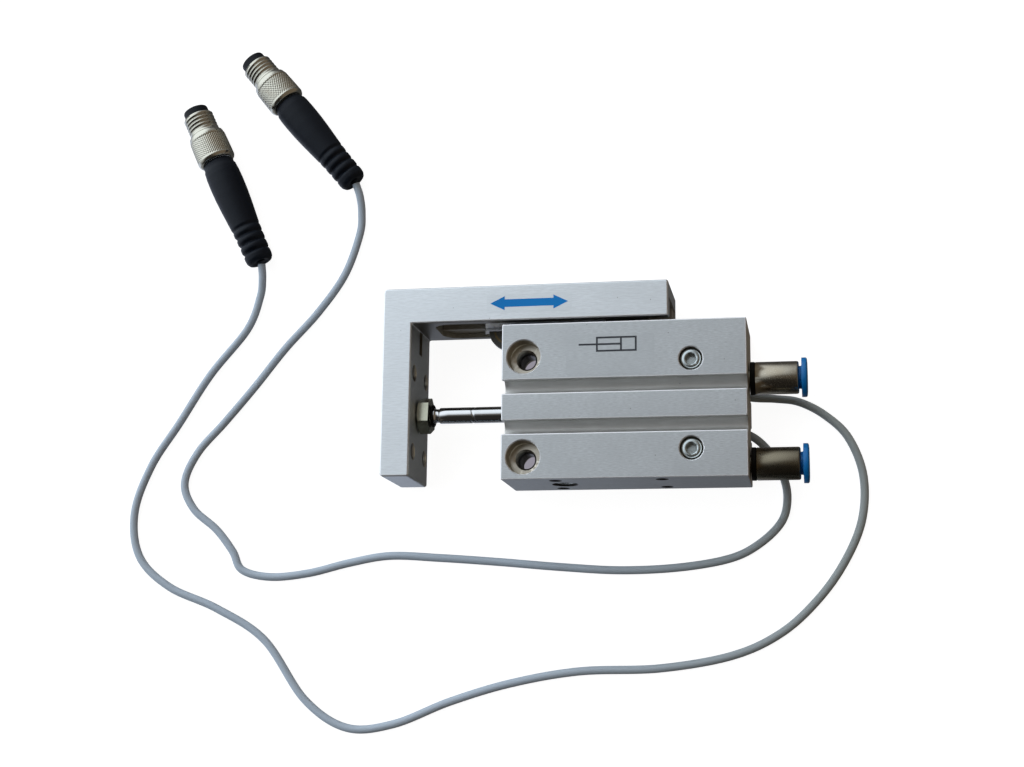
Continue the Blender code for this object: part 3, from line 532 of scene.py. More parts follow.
def smooth_route(points, steps=14):
    """Points along a Catmull-Rom curve through the given ones."""
    knots = [Vector(p) for p in points]
    knots = [2 * knots[0] - knots[1]] + knots + [2 * knots[-1] - knots[-2]]
    fine = []
    for a, b, c, d in zip(knots, knots[1:], knots[2:], knots[3:]):
        for i in range(steps):
            t = i / steps
            fine.append(0.5 * (2 * b + (c - a) * t
                               + (2 * a - 5 * b + 4 * c - d) * t ** 2
                               + (3 * b - a - 3 * c + d) * t ** 3))
    fine.append(knots[-2])
    return fine


def build_cable(number, route):
    curve = bpy.data.curves.new(f"lead_{number}", "CURVE")
    curve.dimensions = "3D"
    curve.bevel_depth = CABLE_D / 2 * MM
    curve.bevel_resolution = 5
    curve.use_fill_caps = True
    points = smooth_route(route)
    spline = curve.splines.new("POLY")
    spline.points.add(len(points) - 1)
    for knot, point in zip(spline.points, points):
        knot.co = (*(point * MM), 1)
    spline.use_smooth = True
    obj = bpy.data.objects.new(f"lead_{number}", curve)
    SCENE.collection.objects.link(obj)
    length = sum((q - p).length for p, q in zip(points, points[1:])) * MM
    return dress(obj, "grey_cable_jacket", "housing_body", f"cable_{number}"), length


# ---- M8 plugs ----------------------------------------------------------------------
THREAD = (2.4, 7.0)            # heights of the nut's thread and of its knurled part
KNURL = (9.2, 15.2)
KNURL_STARTS, KNURL_PITCH = 22, 0.72
NUT_SEGMENTS = 264


def nut_surface(angle, radius, height):
    """The coupling nut's outside: a rounded M8 thread and a diamond knurl."""
    if radius < 3.65:
        return radius
    if THREAD[0] <= height <= THREAD[1]:
        turn = height - angle / (2 * pi)
        fade = min(1, (height - THREAD[0]) / 0.4, (THREAD[1] - height) / 0.4)
        return radius - 0.36 * fade * (0.5 + 0.5 * cos(2 * pi * turn)) ** 1.6
    if KNURL[0] <= height <= KNURL[1]:
        fade = min(1, (height - KNURL[0]) / 0.3, (KNURL[1] - height) / 0.3)
        around, along = KNURL_STARTS * angle, pi * height / KNURL_PITCH
        cuts = min(abs(sin(around + along)), abs(sin(around - along)))
        return radius - 0.22 * fade * (1 - cuts)
    return radius


def steps_between(low, high, count):
    return [low + (high - low) * i / count for i in range(count + 1)]


def build_coupling_nut(number, tip, along):
    profile = [(4.35, 16.2), (4.75, 15.85), (4.95, 15.45)]
    for height in steps_between(KNURL[1], KNURL[0], 44):
        profile.append((5.0 - 0.12 * ((KNURL[1] - height) / 6) ** 2, height))
    profile += [(4.75, 8.6), (4.6, 8.0), (4.15, 7.55), (3.95, 7.3)]
    profile += [(4.0, h) for h in steps_between(THREAD[1], THREAD[0], 46)]
    profile += [(3.75, 2.05), (3.62, 2.0), (3.6, 2.1), (3.6, 16.1), (3.7, 16.2)]
    nut = lathe(f"knurled_nut_{number}", profile, tip, along, NUT_SEGMENTS,
                nut_surface, 60)
    return dress(nut, "nickel_plated_brass", f"nut_{number}",
                 f"coupling_nut_{number}")


def grip_outline(length):
    """Radii of the moulded grip, from the lead end to the coupling nut."""
    knots = [(2.35, 0), (3.1, 0.25), (3.5, 0.9), (3.62, 1.8), (3.6, 2.5),
             (3.62, 5.4), (3.7, 8.5), (3.85, 11.3), (4.02, 13.5), (4.3, 17),
             (4.5, 20.5), (4.57, 24.0), (4.52, 26.6), (4.40, 27.7)]
    outline = [(0, length), (1.15, length), (1.2, length - 0.25)]
    outline += [(1.75, length - 0.2)]
    for (r0, h0), (r1, h1) in zip(knots, knots[1:]):
        count = max(1, round((h1 - h0) / 0.22))
        outline += [(r0 + (r1 - r0) * i / count, length - h0 - (h1 - h0) * i / count)
                    for i in range(count)]
    outline += [(4.35, 18.1), (4.12, 17.75), (4.08, 16.7), (3.9, 16.5), (0, 16.5)]
    return outline


def build_grip(number, tip, along):
    length = along.length
    grooves = [(3.0, 0.72), (5.5, 0.66), (7.9, 0.55), (10.1, 0.38)]

    def moulding(angle, radius, height):
        back = length - height
        if radius < 3.3 or back < 1.5 or back > 12:
            return radius
        # the bands' grooves are deep above and below, and shallow at the sides
        facing = abs(sin(angle)) ** 0.8
        for place, deep in grooves:
            bend = place + 0.35 * (1 - facing)
            away = abs(back - bend) / 0.75
            if away < 1:
                radius -= deep * (0.4 + 0.6 * facing) * (0.5 + 0.5 * cos(pi * away))
        for place, _ in grooves[1:]:
            crest = abs(back - place + 1.25) / 0.9
            if crest < 1:
                radius += 0.12 * facing * (0.5 + 0.5 * cos(pi * crest))
        return radius

    grip = lathe(f"moulded_grip_{number}", grip_outline(length), tip, along, 72,
                 moulding, 50)
    return dress(grip, "black_overmould", "housing_body", f"connector_grip_{number}")


def build_plug_inside(number, tip, along):
    """Contact carrier with its cavity, and the three contact pins."""
    profile = [(0, 16.2), (3.3, 16.2), (3.3, 0.35), (3.2, 0.1), (3.0, 0), (2.6, 0),
               (2.5, 0.12), (2.5, 6.0), (0, 6.0)]
    carrier = lathe(f"pin_carrier_{number}", profile, tip, along, 64)
    dress(carrier, "black_plastic", "housing_body", f"contact_carrier_{number}")
    made = [carrier]
    axis = along.normalized()
    side = axis.cross(Vector((0, 0, 1))).normalized()
    up = side.cross(axis)
    pin = [(0, 9.9), (0.45, 9.9), (0.45, 0.35), (0.38, 0.12), (0.22, 0.02), (0, 0)]
    for i, letter in enumerate("abc"):
        angle = 2 * pi * i / 3 + pi / 2
        foot = tip + (side * cos(angle) + up * sin(angle)) * 1.3
        piece = lathe(f"pin_{number}_{letter}", pin, foot + axis * 1.0, axis, 24)
        made.append(dress(piece, "gold_plated_contact", "housing_body",
                          f"contact_pin_{number}_{letter}"))
    return made


def build_leads():
    for number, route in ((1, CABLE_1_ROUTE), (2, CABLE_2_ROUTE)):
        lead, length = build_cable(number, route)
        tip, end = (Vector(p) for p in PLUGS[number])
        along = end - tip
        with_it = [build_coupling_nut(number, tip, along),
                   build_grip(number, tip, along),
                   *build_plug_inside(number, tip, along)]


build_leads()


# ---- housing -----------------------------------------------------------------------
SLOT_Y, SLOT_HALF, SLOT_R, SLOT_DEPTH = 4.93, 1.65, 2.15, 2.75


def slot_outline(y, up):
    """A sensor slot met while walking along +Y; up is False for the top face."""
    mouth = SLOT_DEPTH - sqrt(SLOT_R ** 2 - SLOT_HALF ** 2)
    open_deg = 180 + atan2(SLOT_DEPTH - mouth, SLOT_HALF) * 180 / pi
    points = [(y - SLOT_HALF, 0), (y - SLOT_HALF, mouth)]
    points += arc((y, SLOT_DEPTH), SLOT_R, open_deg, 180 - open_deg, 22)[1:-1]
    points += [(y + SLOT_HALF, mouth), (y + SLOT_HALF, 0)]
    if not up:
        points = [(a, TOP_Z - b) for a, b in points][::-1]
    return points


def in_slot(at, normal):
    """Whether a face is part of a sensor slot's walls."""
    depth = min(at.z, TOP_Z - at.z)
    return (0.1 < depth < 5.1 and abs(normal.x) < 0.5
            and abs(abs(at.y) - SLOT_Y) < SLOT_R + 0.1)


def thread_cutter(name, minor, major, pitch, depth, start, direction, lead_in,
                  segments):
    """Cutter for a tapped hole: ribs at the thread's pitch and a chamfered mouth."""
    profile = [(0, -1), (major + lead_in + 1, -1), (major + lead_in, 0),
               (minor, lead_in + major - minor)]
    height = lead_in + major - minor + 0.05
    while height + pitch < depth:
        profile += [(minor, height), (major, height + pitch / 2)]
        height += pitch
    profile += [(minor, height), (minor, depth), (0, depth + minor * 0.6)]
    return lathe(name, profile, start, direction, segments)


def build_housing():
    y0, y1 = HOUSING_Y
    outline = [(y0, 0), *slot_outline(-SLOT_Y, True), *slot_outline(SLOT_Y, True),
               (y1, 0), (y1, TOP_Z), *slot_outline(SLOT_Y, False),
               *slot_outline(-SLOT_Y, False), (y0, TOP_Z)]
    housing = extrude("housing_block", outline, "X", -HOUSING_X, HOUSING_X)
    soften(housing, 0.28)
    out = -HOUSING_X
    cutters = [lathe("bore", [
        (0, -1), (6.9, -1), (5.95, 0), (5.6, 0.35), (5.6, 0.5), (6.0, 0.5),
        (6.0, 1.7), (5.6, 1.7), (5.6, 10.1), (5.0, 10.1), (5.0, 46.0), (0, 46.0)],
        (out, 0, AXIS_Z), (1, 0, 0), 72)]
    for side in (-1, 1):
        y = side * BOLT_Y
        cutters.append(lathe(f"counterbore_{side}", [
            (0, -1), (5.35, -1), (4.35, 0), (4.1, 0.25), (4.1, 4.45), (3.95, 4.6),
            (0, 4.6)], (BOLT_X, y, TOP_Z), (0, 0, -1), 72))
        # the thread is lined with painted shade
        cutters.append(lined(thread_cutter(
            f"bolt_thread_{side}", 2.15, 2.45, 0.8, 4.6,
            (BOLT_X, y, TOP_Z - 4.6), (0, 0, -1), 0.12, 48), TAPPED_HOLE_SHADE))
        # the bolt hole's core is lined with painted shade
        cutters.append(lined(lathe(f"bolt_core_{side}", [
            (0, 8), (2.2, 8), (2.2, 15.5), (0, 15.5)],
            (BOLT_X, y, TOP_Z), (0, 0, -1), 48), DEEP_HOLE_SHADE))
        cutters.append(lathe(f"bolt_exit_{side}", [
            (0, -1), (4.5, -1), (3.5, 0), (3.3, 0.2), (3.3, 5.3), (3.1, 5.5),
            (0, 5.5)], (BOLT_X, y, 0), (0, 0, 1), 48))
        cutters.append(lathe(f"port_mouth_{side}", [
            (0, -1), (4.05, -1), (3.05, 0), (2.8, 0.25), (2.8, 4.8), (2.1, 4.8),
            (2.1, 10.8), (0, 10.8)], (PLUG_X, side * PLUG_Y, TOP_Z), (0, 0, -1), 56))
    for i, x in enumerate((-16.6, 9.0)):
        for side in (-1, 1):
            # the side holes are lined with painted shade
            cutters.append(lined(thread_cutter(
                f"side_hole_{i}_{side}", 1.25, 1.5, 0.5, 6.0,
                (x, y0, AXIS_Z + side * 6.5), (0, 1, 0), 0.1, 28), DEEP_HOLE_SHADE))
    # the side port is lined with painted shade
    cutters.append(lined(lathe("side_port", [
        (0, -1), (4.3, -1), (3.3, 0), (3.05, 0.25), (3.05, 3.2), (1.2, 3.2),
        (1.2, 12), (0, 12)], (CROSS_X, y0, AXIS_Z), (0, 1, 0), 56), DEEP_HOLE_SHADE))
    for i, y in enumerate(REAR_PORTS):
        cutters.append(lathe(f"rear_port_{i}", [
            (0, -1), (3.9, -1), (2.9, 0), (2.5, 0.4), (2.5, 6.0), (0, 6.0)],
            (HOUSING_X, y, AXIS_Z), (-1, 0, 0), 48))
    cutters.append(block("rail_pocket", (out - 1, 15.3, 8.6), (10.8, 22, 11.4)))
    for i, x in enumerate((-18.0, 1.0)):
        cutters.append(lathe(f"clamp_hole_{i}", [
            (0, -1), (2.8, -1), (1.8, 0), (1.55, 0.25), (1.55, 9), (0, 9)],
            (x, 17.9, 0), (0, 0, 1), 32))
    carve(housing, cutters, bored=True)
    # slot walls get painted light
    refinish(housing, SLOT_PAINTED_LIGHT, in_slot)
    # end faces: sawn finish with painted light
    refinish(housing, SAWN_PAINTED_LIGHT, lambda at, normal: abs(normal.x) > 0.9)
    # the housing's top edges get a painted highlight
    refinish(housing, ARRIS_HIGHLIGHT, top_arris, cut_too=True)
    even_faces(housing)
    dress(housing, "anodised_aluminium", "housing_body", "housing")


def hex_cutter(name, across, start, direction, depth, turn_deg=0.0):
    """Cutter for a hexagonal key socket with a small countersink."""
    radius = across / sqrt(3)
    points = arc((0, 0), radius, turn_deg, turn_deg + 300, 5)
    hexagon = extrude(name, points, "Z", -1, depth)
    hexagon.matrix_world = frame_at(start, direction)
    sink = lathe(name + "_sink", [
        (0, -1), (radius + 1.1, -1), (radius + 0.1, 0), (radius * 0.87, 0.18),
        (0, 0.18)], start, direction, 32)
    return [hexagon, sink]


def build_port_plugs():
    for number, side in ((1, 1), (2, -1)):
        centre = (PLUG_X, side * PLUG_Y, 15.5)
        top = 4.0
        plug = lathe(f"port_plug_{number}", [
            (0, top), (2.0, top), (2.08, top - 0.06), (2.14, top - 0.06),
            (2.3, top), (2.42, top - 0.08), (2.5, top - 0.25), (2.5, 0.4),
            (2.2, 0), (0, 0)], centre, (0, 0, 1), 64)
        turn = 8 if number == 1 else 22
        carve(plug, hex_cutter("socket", 2.5, (centre[0], centre[1], 19.5),
                               (0, 0, -1), 2.2, turn))
        dress(plug, "zinc_plated_steel", "housing_body", f"top_port_plug_{number}")
    start = (CROSS_X, -17.2, AXIS_Z)
    plug = lathe("side_plug", [
        (0, 0), (2.45, 0), (2.65, 0.1), (2.75, 0.3), (2.75, 2.3), (2.55, 2.5),
        (0, 2.5)], start, (0, 1, 0), 64)
    carve(plug, hex_cutter("side_socket", 2.5, start, (0, 1, 0), 1.5, 10))
    dress(plug, "zinc_plated_steel", "housing_body", "side_port_plug")


def build_front_end():
    """What shows in the housing's front bore: cap, wiper seal and circlip."""
    base = (-27.5, 0, AXIS_Z)
    cap = lathe("bearing_cap", [
        (5.3, 8.0), (5.3, 6.4), (4.1, 6.4), (4.1, 4.8), (5.3, 4.8), (5.3, 0.2),
        (5.1, 0), (3.75, 0), (3.6, 0.15), (3.6, 3.2), (2.3, 3.2), (2.3, 8.0)],
        base, (1, 0, 0), 64)
    dress(cap, "brass", "housing_body", "front_bearing_cap")
    seal = lathe("wiper_seal", [
        (3.3, 2.6), (3.3, 0.45), (3.2, 0.35), (2.95, 0.35), (2.6, 0.7), (2.3, 1.2),
        (2.3, 2.6)], base, (1, 0, 0), 64)
    dress(seal, "black_rubber", "housing_body", "rod_seal")
    clip = lathe("circlip", [(4.86, 0.6), (5.79, 0.6), (5.85, 0.54), (5.85, 0.06),
                             (5.79, 0), (4.86, 0), (4.8, 0.06), (4.8, 0.54)],
                 (-28.6, 0, AXIS_Z), (1, 0, 0), 72)
    carve(clip, [block("gap", (-29.5, -1.2, AXIS_Z + 3), (-27, 1.2, AXIS_Z + 8))])
    dress(clip, "hardened_steel", "housing_body", "retaining_ring")


build_housing()
build_port_plugs()
build_front_end()


# ---- push-in fittings --------------------------------------------------------------
def build_fitting(number, y):
    start = (24.4, y, AXIS_Z)
    body = lathe(f"fitting_body_{number}", [
        (3.05, 16.85), (3.5, 16.85), (3.7, 16.8), (3.84, 16.68), (3.92, 16.5),
        (3.95, 16.3), (3.95, 6.65), (3.9, 6.55), (3.8, 6.5), (2.2, 6.5), (2.2, 0.3),
        (1.9, 0), (1.25, 0), (1.25, 9.2), (3.05, 9.2)], start, (1, 0, 0), 96)
    # the second fitting gets the painted-shade copy of the nickel
    dress(body, "nickel_plated_brass", "housing_body", f"port_fitting_{number}",
          finish=FITTING_NICKEL if number == 1 else SHADED_NICKEL)
    seal = lathe(f"fitting_seal_{number}", [
        (3.85, 1.14), (3.95, 1.1), (4.0, 1.0), (4.0, 0.15), (3.95, 0.05), (3.85, 0),
        (2.6, 0), (2.6, 1.14)], (29.7, y, AXIS_Z), (1, 0, 0), 72)
    dress(seal, "black_rubber", "housing_body", f"fitting_gasket_{number}")
    ring = lathe(f"push_ring_{number}", [
        (2.35, 5.9), (3.6, 5.9), (4.3, 5.84), (4.6, 5.74), (4.72, 5.6),
        (4.75, 5.45), (4.75, 4.58), (4.7, 4.5), (2.95, 4.5), (2.75, 4.3),
        (2.75, 0), (2.1, 0), (2.1, 5.65)], (37.4, y, AXIS_Z), (1, 0, 0), 80)
    dress(ring, "blue_plastic", f"ring_{number}", f"release_ring_{number}")


for fitting_number, port_y in enumerate(REAR_PORTS, 1):
    build_fitting(fitting_number, port_y)


# ---- guide -------------------------------------------------------------------------
RAIL_CAP_Y, RAIL_CAP_R = 20.95, 4.7


def build_rail_caps():
    """Quarter-round plastic end caps, each with a thin bronze-coloured strip along its
    round edge: a painted sheen.
    """
    for name, x, turn in (("front", -29.7, 180), ("rear", 5.8, -90)):
        centre = (x, RAIL_CAP_Y)
        quarter = arc(centre, RAIL_CAP_R, turn, turn + 90, 30) + [centre]
        cap = extrude(f"rail_cap_{name}", quarter, "Z", AXIS_Z - 1.1, AXIS_Z + 1.1)
        soften(cap, 0.18)
        even_faces(cap)
        dress(cap, "black_plastic", "housing_body", f"rail_end_cap_{name}",
              finish=CAP_PLASTIC)
        # painted sheen: a bronze-coloured strip just inside the round edge
        edge = (arc(centre, RAIL_CAP_R - 1.3, turn + 6, turn + 84, 30)
                + arc(centre, RAIL_CAP_R - 1.8, turn + 84, turn + 6, 30))
        strip = extrude(f"rail_cap_sheen_strip_{name}", edge, "Z", AXIS_Z - 1.14,
                        AXIS_Z + 1.14)
        dress(strip, "brass", "housing_body", finish=CAP_EDGE_SHEEN)


def cage_outline():
    """Section of the cage across the rail: Y and Z, with bent corners."""
    half = arc((25.7, 1.9), 0.5, 0, 90, 4) + arc((22.5, 2.65), 0.25, 270, 180, 3)
    half += [(22.25, 6.6), (22.15, 6.7), (21.85, 6.7), (21.75, 6.6), (21.75, 1.4),
             (21.85, 1.3), (22.15, 1.3), (22.25, 1.4), (22.4, 1.9), (25.5, 1.9),
             (25.7, 1.7)]
    upper = [(y, AXIS_Z + z) for y, z in half]
    lower = [(y, AXIS_Z - z) for y, z in reversed(half)]
    return upper + lower


BALL_R, BALL_Y, BALL_ROW = 0.6, 24.1, 2.15
BALLS_IN_ROW = 6


def build_cage():
    """Bent sheet round the rail, with a leaning front edge and two rows of balls."""
    x0, x1, lean = -35.5, -5.0, 0.208
    cage = extrude("cage_sheet", cage_outline(), "X", x0 - 1.1, x1)
    soften(cage, 0.06)
    slant = [(x0 - 4, -1), (x0 - 2.3, -1), (x0 + 2.2, 20.6), (x0 - 4, 20.6)]
    heel = [(x0 - 4.5, -1), (x0 + 1.1, -1), (x0 + 1.1, 3.0), (x0 - 1.0, 5.4),
            (x0 - 4.5, 5.4)]
    stops = [extrude("cage_slant", slant, "Y", 20, 28),
             extrude("cage_heel", heel, "Y", 20, 28)]
    balls = []
    for side in (1, -1):
        for i in range(BALLS_IN_ROW):
            x = x0 + 3.2 + i * (x1 - x0 - 6.4) / (BALLS_IN_ROW - 1)
            z = AXIS_Z + side * BALL_ROW
            stops.append(lathe(f"window_{side}_{i}", [
                (0, -0.6), (0.68, -0.6), (0.68, 0.6), (0, 0.6)],
                (x, BALL_Y, z), (0, 0, 1), 24))
            bm = bmesh.new()
            bmesh.ops.create_uvsphere(bm, u_segments=24, v_segments=16,
                                      radius=BALL_R * MM)
            ball = new_object(f"ball_{side}_{i}", bm)
            ball.location = Vector((x, BALL_Y, z)) * MM
            balls.append(ball)
    for k in range(4):
        x = x0 + 2.6 + 1.1 * k
        stops.append(block(f"crease_{k}", (x, 21.5, 3), (x + 0.22, 21.87, 17)))
    carve(cage, stops)
    # thin strips on the cage's leaning front edge: painted highlight
    for name, low, high in (("upper", 11.4, 16.6), ("lower", 5.5, 8.6)):
        foot, head = (x0 - 2.05 + lean * z for z in (low, high))
        lip = extrude(f"cage_highlight_lip_{name}", [
            (foot, low), (foot + 0.45, low), (head + 0.45, high), (head, high)],
            "Y", 21.55, 21.8)
        dress(lip, "zinc_plated_steel", "cage", finish=CAGE_EDGE_HIGHLIGHT)
    even_faces(cage)
    # the cage sheet gets the painted-light finish
    dress(cage, "zinc_plated_steel", "cage", "ball_cage", finish=CAGE_SHEET_PAINTED_LIGHT)
    bpy.context.view_layer.update()
    dress(merge("cage_balls", balls), "hardened_steel", "cage")


build_rail_caps()
build_cage()


# ---- yoke and rod ------------------------------------------------------------------
def build_yoke():
    outer, inner = YOKE_X
    outline = (arc((-58.3, -15.4), 1, 180, 270, 7)
               + arc((-52.6, -15.8), 0.6, 270, 360, 5)
               + [(inner, 21.4), (11, 21.4)] + arc((10.4, 29.7), 0.6, 0, 90, 5)
               + arc((-58.3, 29.3), 1, 90, 180, 7))
    yoke = extrude("yoke_body", outline, "Z", 0.3, TOP_Z)
    soften(yoke, 0.45, 3)
    x, z = -43.3, 3.5
    channel = ([(12, -7.5), (12, 7.5)] + arc((x, z), 4, 90, 180, 16)
               + arc((x, -z), 4, 180, 270, 16))
    channel = [(a, b + AXIS_Z) for a, b in channel]
    cutters = [
        # the channel walls get the painted-light finish
        lined(extrude("channel", channel, "Y", 20.4, 26.6), CHANNEL_PAINTED_LIGHT),
        block("cap_slot", (-55.6, 15.4, 8.55), (-51, 21.25, 11.45)),
        lathe("rod_hole", [
            (0, -1), (3.5, -1), (2.5, 0), (2.3, 0.2), (2.3, 7.1), (2.5, 7.3),
            (3.5, 8.3), (0, 8.3)], (outer, 0, AXIS_Z), (1, 0, 0), 48),
    ]
    for y in (-9.75, 9.75):
        for dz in (-6.0, 6.0):
            name = f"tool_hole_{y:+.0f}_{dz:+.0f}"
            # the thread is lined with painted shade
            cutters.append(lined(thread_cutter(
                name, 1.7, 1.98, 0.7, 8.4, (outer, y, AXIS_Z + dz), (1, 0, 0), 0.12,
                32), TAPPED_HOLE_SHADE))
            cutters.append(lathe(name + "_in", [
                (0, -1), (3.15, -1), (2.15, 0), (1.7, 0.45), (1.7, 1.2), (0, 1.2)],
                (inner, y, AXIS_Z + dz), (-1, 0, 0), 32))
    carve(yoke, cutters, bored=True)
    # the yoke's inner face gets painted shade
    refinish(yoke, YOKE_INNER_SHADE, lambda at, normal: normal.y < -0.9 and at.y > 0)
    # the yoke's top edges get a painted highlight
    refinish(yoke, ARRIS_HIGHLIGHT, lambda at, normal: top_arris(at, normal) and (
        normal.y < -0.2 or normal.x < -0.2))
    even_faces(yoke)
    dress(yoke, "bright_aluminium", "carriage", "yoke")


ROD_THREAD = (0.6, 9.2)        # heights of the rod's thread and of its twisted mark
ROD_MARK = (19.9, 21.5)
ROD_PITCH = 0.7


def rod_surface(angle, radius, height):
    """Thread in the yoke and nut, and a shallow twisted mark along the rod."""
    if radius < 1.9:
        return radius
    if ROD_THREAD[0] <= height <= ROD_THREAD[1]:
        turn = height / ROD_PITCH - angle / (2 * pi)
        return radius - 0.2 * (0.5 + 0.5 * cos(2 * pi * turn))
    if ROD_MARK[0] <= height <= ROD_MARK[1]:
        along = height - ROD_MARK[0]
        fade = sin(pi * along / (ROD_MARK[1] - ROD_MARK[0]))
        twist = 0.5 + 0.5 * cos(3 * angle - 2 * pi * along / 1.2)
        return radius - 0.09 * fade * twist ** 2
    return radius


def build_rod():
    """Height 0 is the rod's outer end, at x = -58.9."""
    front = -58.9
    profile = [(0, 52.3), (1.2, 52.3), (1.4, 52.1), (1.4, 42.3), (1.8, 42.3),
               (1.98, 42.15)]
    profile += [(2.0, h) for h in steps_between(42.0, 22.0, 10)]
    profile += [(2.0, h) for h in steps_between(21.8, 19.4, 24)]
    profile += [(2.0, 19.2), (2.0, 14.6), (2.0, 12.5), (1.95, 12.32), (1.72, 12.2),
                (1.7, 12.1), (1.7, 11.4), (1.73, 11.3), (1.98, 11.05), (2.0, 10.9),
                (2.0, 9.4)]
    profile += [(2.0, h) for h in steps_between(ROD_THREAD[1], ROD_THREAD[0], 98)]
    profile += [(1.85, 0.35), (1.6, 0), (0, 0)]
    rod = lathe("slide_rod", profile, (front, 0, AXIS_Z), (1, 0, 0), 64, rod_surface)
    dress(rod, "chromed_steel", "carriage", "piston_rod")


def build_nut():
    """Hexagon nut: its top facet leans slightly to the guide, as on the slide."""
    radius = 8 / sqrt(3)
    lean = radians(6.8)
    corners = [(radius * sin(lean + pi / 6 + k * pi / 3),
                AXIS_Z + radius * cos(lean + pi / 6 + k * pi / 3)) for k in range(6)]
    nut = extrude("hexagon_nut", corners, "X", -51.7, -48.9)
    cone = [(0, 0), (4.1, 0), (4.7, 0.35), (4.7, 2.75), (4.6, 2.8), (0, 2.8)]
    carve(nut, [lathe("cone", cone, (-51.7, 0, AXIS_Z), (1, 0, 0), 96)], "INTERSECT")
    carve(nut, [lathe("nut_bore", [
        (0, -1), (3.6, -1), (2.6, 0), (2.3, 0.3), (2.3, 2.5), (2.6, 2.8), (3.6, 3.8),
        (0, 3.8)], (-51.7, 0, AXIS_Z), (1, 0, 0), 48)])
    even_faces(nut)
    dress(nut, "nickel_plated_brass", "carriage", "rod_nut", finish=NUT_NICKEL)
    collar = lathe("stop_collar", [
        (2.35, 0.6), (2.6, 0.6), (2.75, 0.5), (2.8, 0.3), (2.75, 0.1), (2.6, 0),
        (2.35, 0)], (-48.7, 0, AXIS_Z), (1, 0, 0), 64)
    dress(collar, "black_rubber", "carriage", "rod_collar")


build_yoke()
build_rod()
build_nut()


# ---- labels: plain signs in place of the printed ones ------------------------------
def build_labels():
    z = TOP_Z
    film = extrude("slide_label", rounded((-33.3, 23.4), (-12.3, 27.9), 0.5), "Z",
                   z, z + 0.03)
    dress(film, "bright_aluminium", "carriage", finish=SLIDE_FILM)
    y, x0, x1, head, wide, bar = 25.7, -32.4, -13.2, 3.6, 1.75, 0.95
    arrow = [(x0, y), (x0 + head, y - wide), (x0 + head, y - bar),
             (x1 - head, y - bar), (x1 - head, y - wide), (x1, y),
             (x1 - head, y + wide), (x1 - head, y + bar), (x0 + head, y + bar),
             (x0 + head, y + wide)]
    sign = extrude("slide_label_arrow", arrow, "Z", z + 0.03, z + 0.05)
    dress(sign, "blue_plastic", "carriage", finish=BLUE_PRINT)
    film = extrude("housing_label", rounded((-13.6, 7.3), (7.6, 17.2), 0.5), "Z",
                   z, z + 0.03)
    dress(film, "anodised_aluminium", "housing_body", finish=LABEL_FILM)
    # schematic of a cylinder: barrel, piston and rod
    x0, x1, y0, y1, line = -6.4, 3.4, 12.9, 16.6, 0.45
    piston, middle = -0.6, (y0 + y1) / 2
    bars = [((x0, y0), (x1, y0 + line)), ((x0, y1 - line), (x1, y1)),
            ((x0, y0 + line), (x0 + line, y1 - line)),
            ((x1 - line, y0 + line), (x1, y1 - line)),
            ((piston, y0 + line), (piston + line, y1 - line)),
            ((x0 + line, middle - line / 2), (piston, middle + line / 2)),
            ((x0 - 4.2, middle - line / 2), (x0, middle + line / 2))]
    drawn = [block(f"bar_{i}", (*low, z + 0.03), (*high, z + 0.05))
             for i, (low, high) in enumerate(bars)]
    bpy.context.view_layer.update()
    dress(merge("housing_label_symbol", drawn), "black_plastic", "housing_body",
          finish=DARK_PRINT)


build_labels()


# ---- CAD nodes that stay -----------------------------------------------------------
def finish_cad_nodes():
    slots = {part["node"]: part["material_slot"]
             for part in frame["record"]["subparts"]}
    for name, node in frame["nodes"].items():
        if not node.hide_render:
            # race strips get the painted-light finish
            race = name.startswith("race_strip")
            node.data.materials.clear()
            node.data.materials.append(RACE_PAINTED_LIGHT if race else FINISH[slots[name]])


finish_cad_nodes()


# ---- floor, backdrop and light -----------------------------------------------------
def glowing(name, colour):
    """A material that only gives off its colour."""
    material = bpy.data.materials.new(name)
    material.use_nodes = True
    shader = material.node_tree.nodes["Principled BSDF"]
    shader.inputs["Base Color"].default_value = (0, 0, 0, 1)
    shader.inputs["Emission Color"].default_value = (*colour, 1)
    shader.inputs["Emission Strength"].default_value = 1.0
    return material


def build_stage():
    """Pale floor and backdrop, and a painted shadow: a dim glowing patch on the floor
    below the housing.
    """
    material = bpy.data.materials.new("pale_floor")
    material.use_nodes = True
    tree = material.node_tree
    shader = tree.nodes["Principled BSDF"]
    coords = tree.nodes.new("ShaderNodeTexCoord").outputs["Object"]
    soft = noise(tree, coords, 60, detail=2.0)
    tree.links.new(tint(tree, spread(tree, soft, 0, 1), (0.29, 0.29, 0.29),
                        (0.31, 0.31, 0.31)), shader.inputs["Base Color"])
    shader.inputs["Roughness"].default_value = 0.9
    shader.inputs["Specular IOR Level"].default_value = 0.0
    shader.inputs["Emission Color"].default_value = (1, 1, 1, 1)
    shader.inputs["Emission Strength"].default_value = 0.93
    bm = bmesh.new()
    bmesh.ops.create_circle(bm, cap_ends=True, segments=96, radius=3.0)
    floor = new_object("floor", bm)
    floor.location.z = -0.02 * MM
    floor.data.materials.append(material)
    bm = bmesh.new()
    bmesh.ops.create_uvsphere(bm, u_segments=48, v_segments=24, radius=3.0)
    backdrop = new_object("backdrop", bm)
    backdrop.data.materials.append(glowing("pale_backdrop", (1, 1, 1)))
    # painted shadow under the housing, seen through its through holes
    painted_shadow = block("painted_floor_shadow", (-HOUSING_X + 1, HOUSING_Y[0] + 1, -0.012),
                    (HOUSING_X - 1, HOUSING_Y[1] - 1, -0.01))
    painted_shadow.data.materials.append(glowing("painted_shade_below", (0.29, 0.275, 0.32)))
    for obj in (floor, backdrop, painted_shadow):
        obj.visible_diffuse = obj.visible_glossy = False
        obj.visible_transmission = False
    backdrop.visible_shadow = False


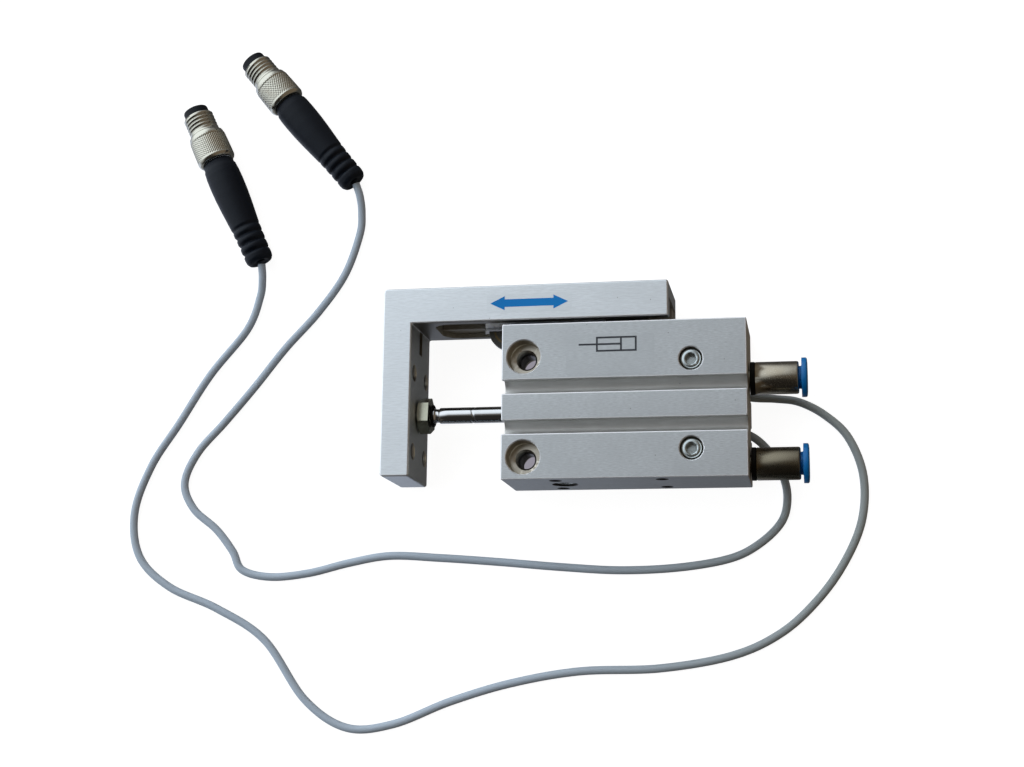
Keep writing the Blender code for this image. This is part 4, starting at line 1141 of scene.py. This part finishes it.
def build_world():
    """A soft bright room: a big window on the left, brown walls on the right."""
    world = bpy.data.worlds.new("room")
    SCENE.world = world
    world.use_nodes = True
    tree = world.node_tree
    tree.nodes.clear()
    direction = tree.nodes.new("ShaderNodeTexCoord").outputs["Generated"]
    height = add_node(tree, "ShaderNodeSeparateXYZ", {"Vector": direction}).outputs["Z"]
    sky = tint(tree, spread(tree, height, 0, 1, -0.25, 0.15), (0.16, 0.155, 0.155),
               (0.68, 0.69, 0.71))
    lights = [
        # direction, outer and inner edge as cosines, colour
        ((-0.85, 0.30, 0.45), 0.30, 0.90, (1.15, 1.22, 1.29)),
        ((0.20, -0.75, 0.60), 0.35, 0.80, (0.05, 0.045, 0.04)),
        ((-0.05, -0.95, -0.30), 0.75, 0.95, (0.03, 0.03, 0.03)),
        ((-0.65, 0.58, 0.48), 0.55, 0.92, (2.2, 2.35, 2.5)),
        ((0.90, 0.10, 0.40), 0.30, 0.80, (0.30, 0.24, 0.18)),
        ((0.00, -0.05, 1.00), 0.955, 0.99, (0.24, 0.21, 0.17)),
        ((-0.70, -0.20, -0.69), 0.72, 0.95, (1.2, 1.32, 1.6)),
        ((0.50, 0.10, -0.85), 0.75, 0.95, (0.10, 0.10, 0.10)),
        ((-0.35, -0.62, -0.70), 0.93, 0.98, (0.45, 0.46, 0.49)),
    ]
    for aim_at, outer, inner, colour in lights:
        toward = Vector(aim_at).normalized()
        match = add_node(tree, "ShaderNodeVectorMath", operation="DOT_PRODUCT")
        tree.links.new(direction, match.inputs[0])
        match.inputs[1].default_value = toward
        amount = add_node(tree, "ShaderNodeMapRange", {
            "Value": match.outputs["Value"], "From Min": outer, "From Max": inner},
            interpolation_type="SMOOTHSTEP").outputs["Result"]
        sky = tint(tree, amount, sky, colour)
    back = add_node(tree, "ShaderNodeBackground", {"Color": sky, "Strength": 0.7})
    out = tree.nodes.new("ShaderNodeOutputWorld")
    tree.links.new(back.outputs["Background"], out.inputs["Surface"])


build_stage()
build_world()
SCENE.view_settings.view_transform = "Standard"
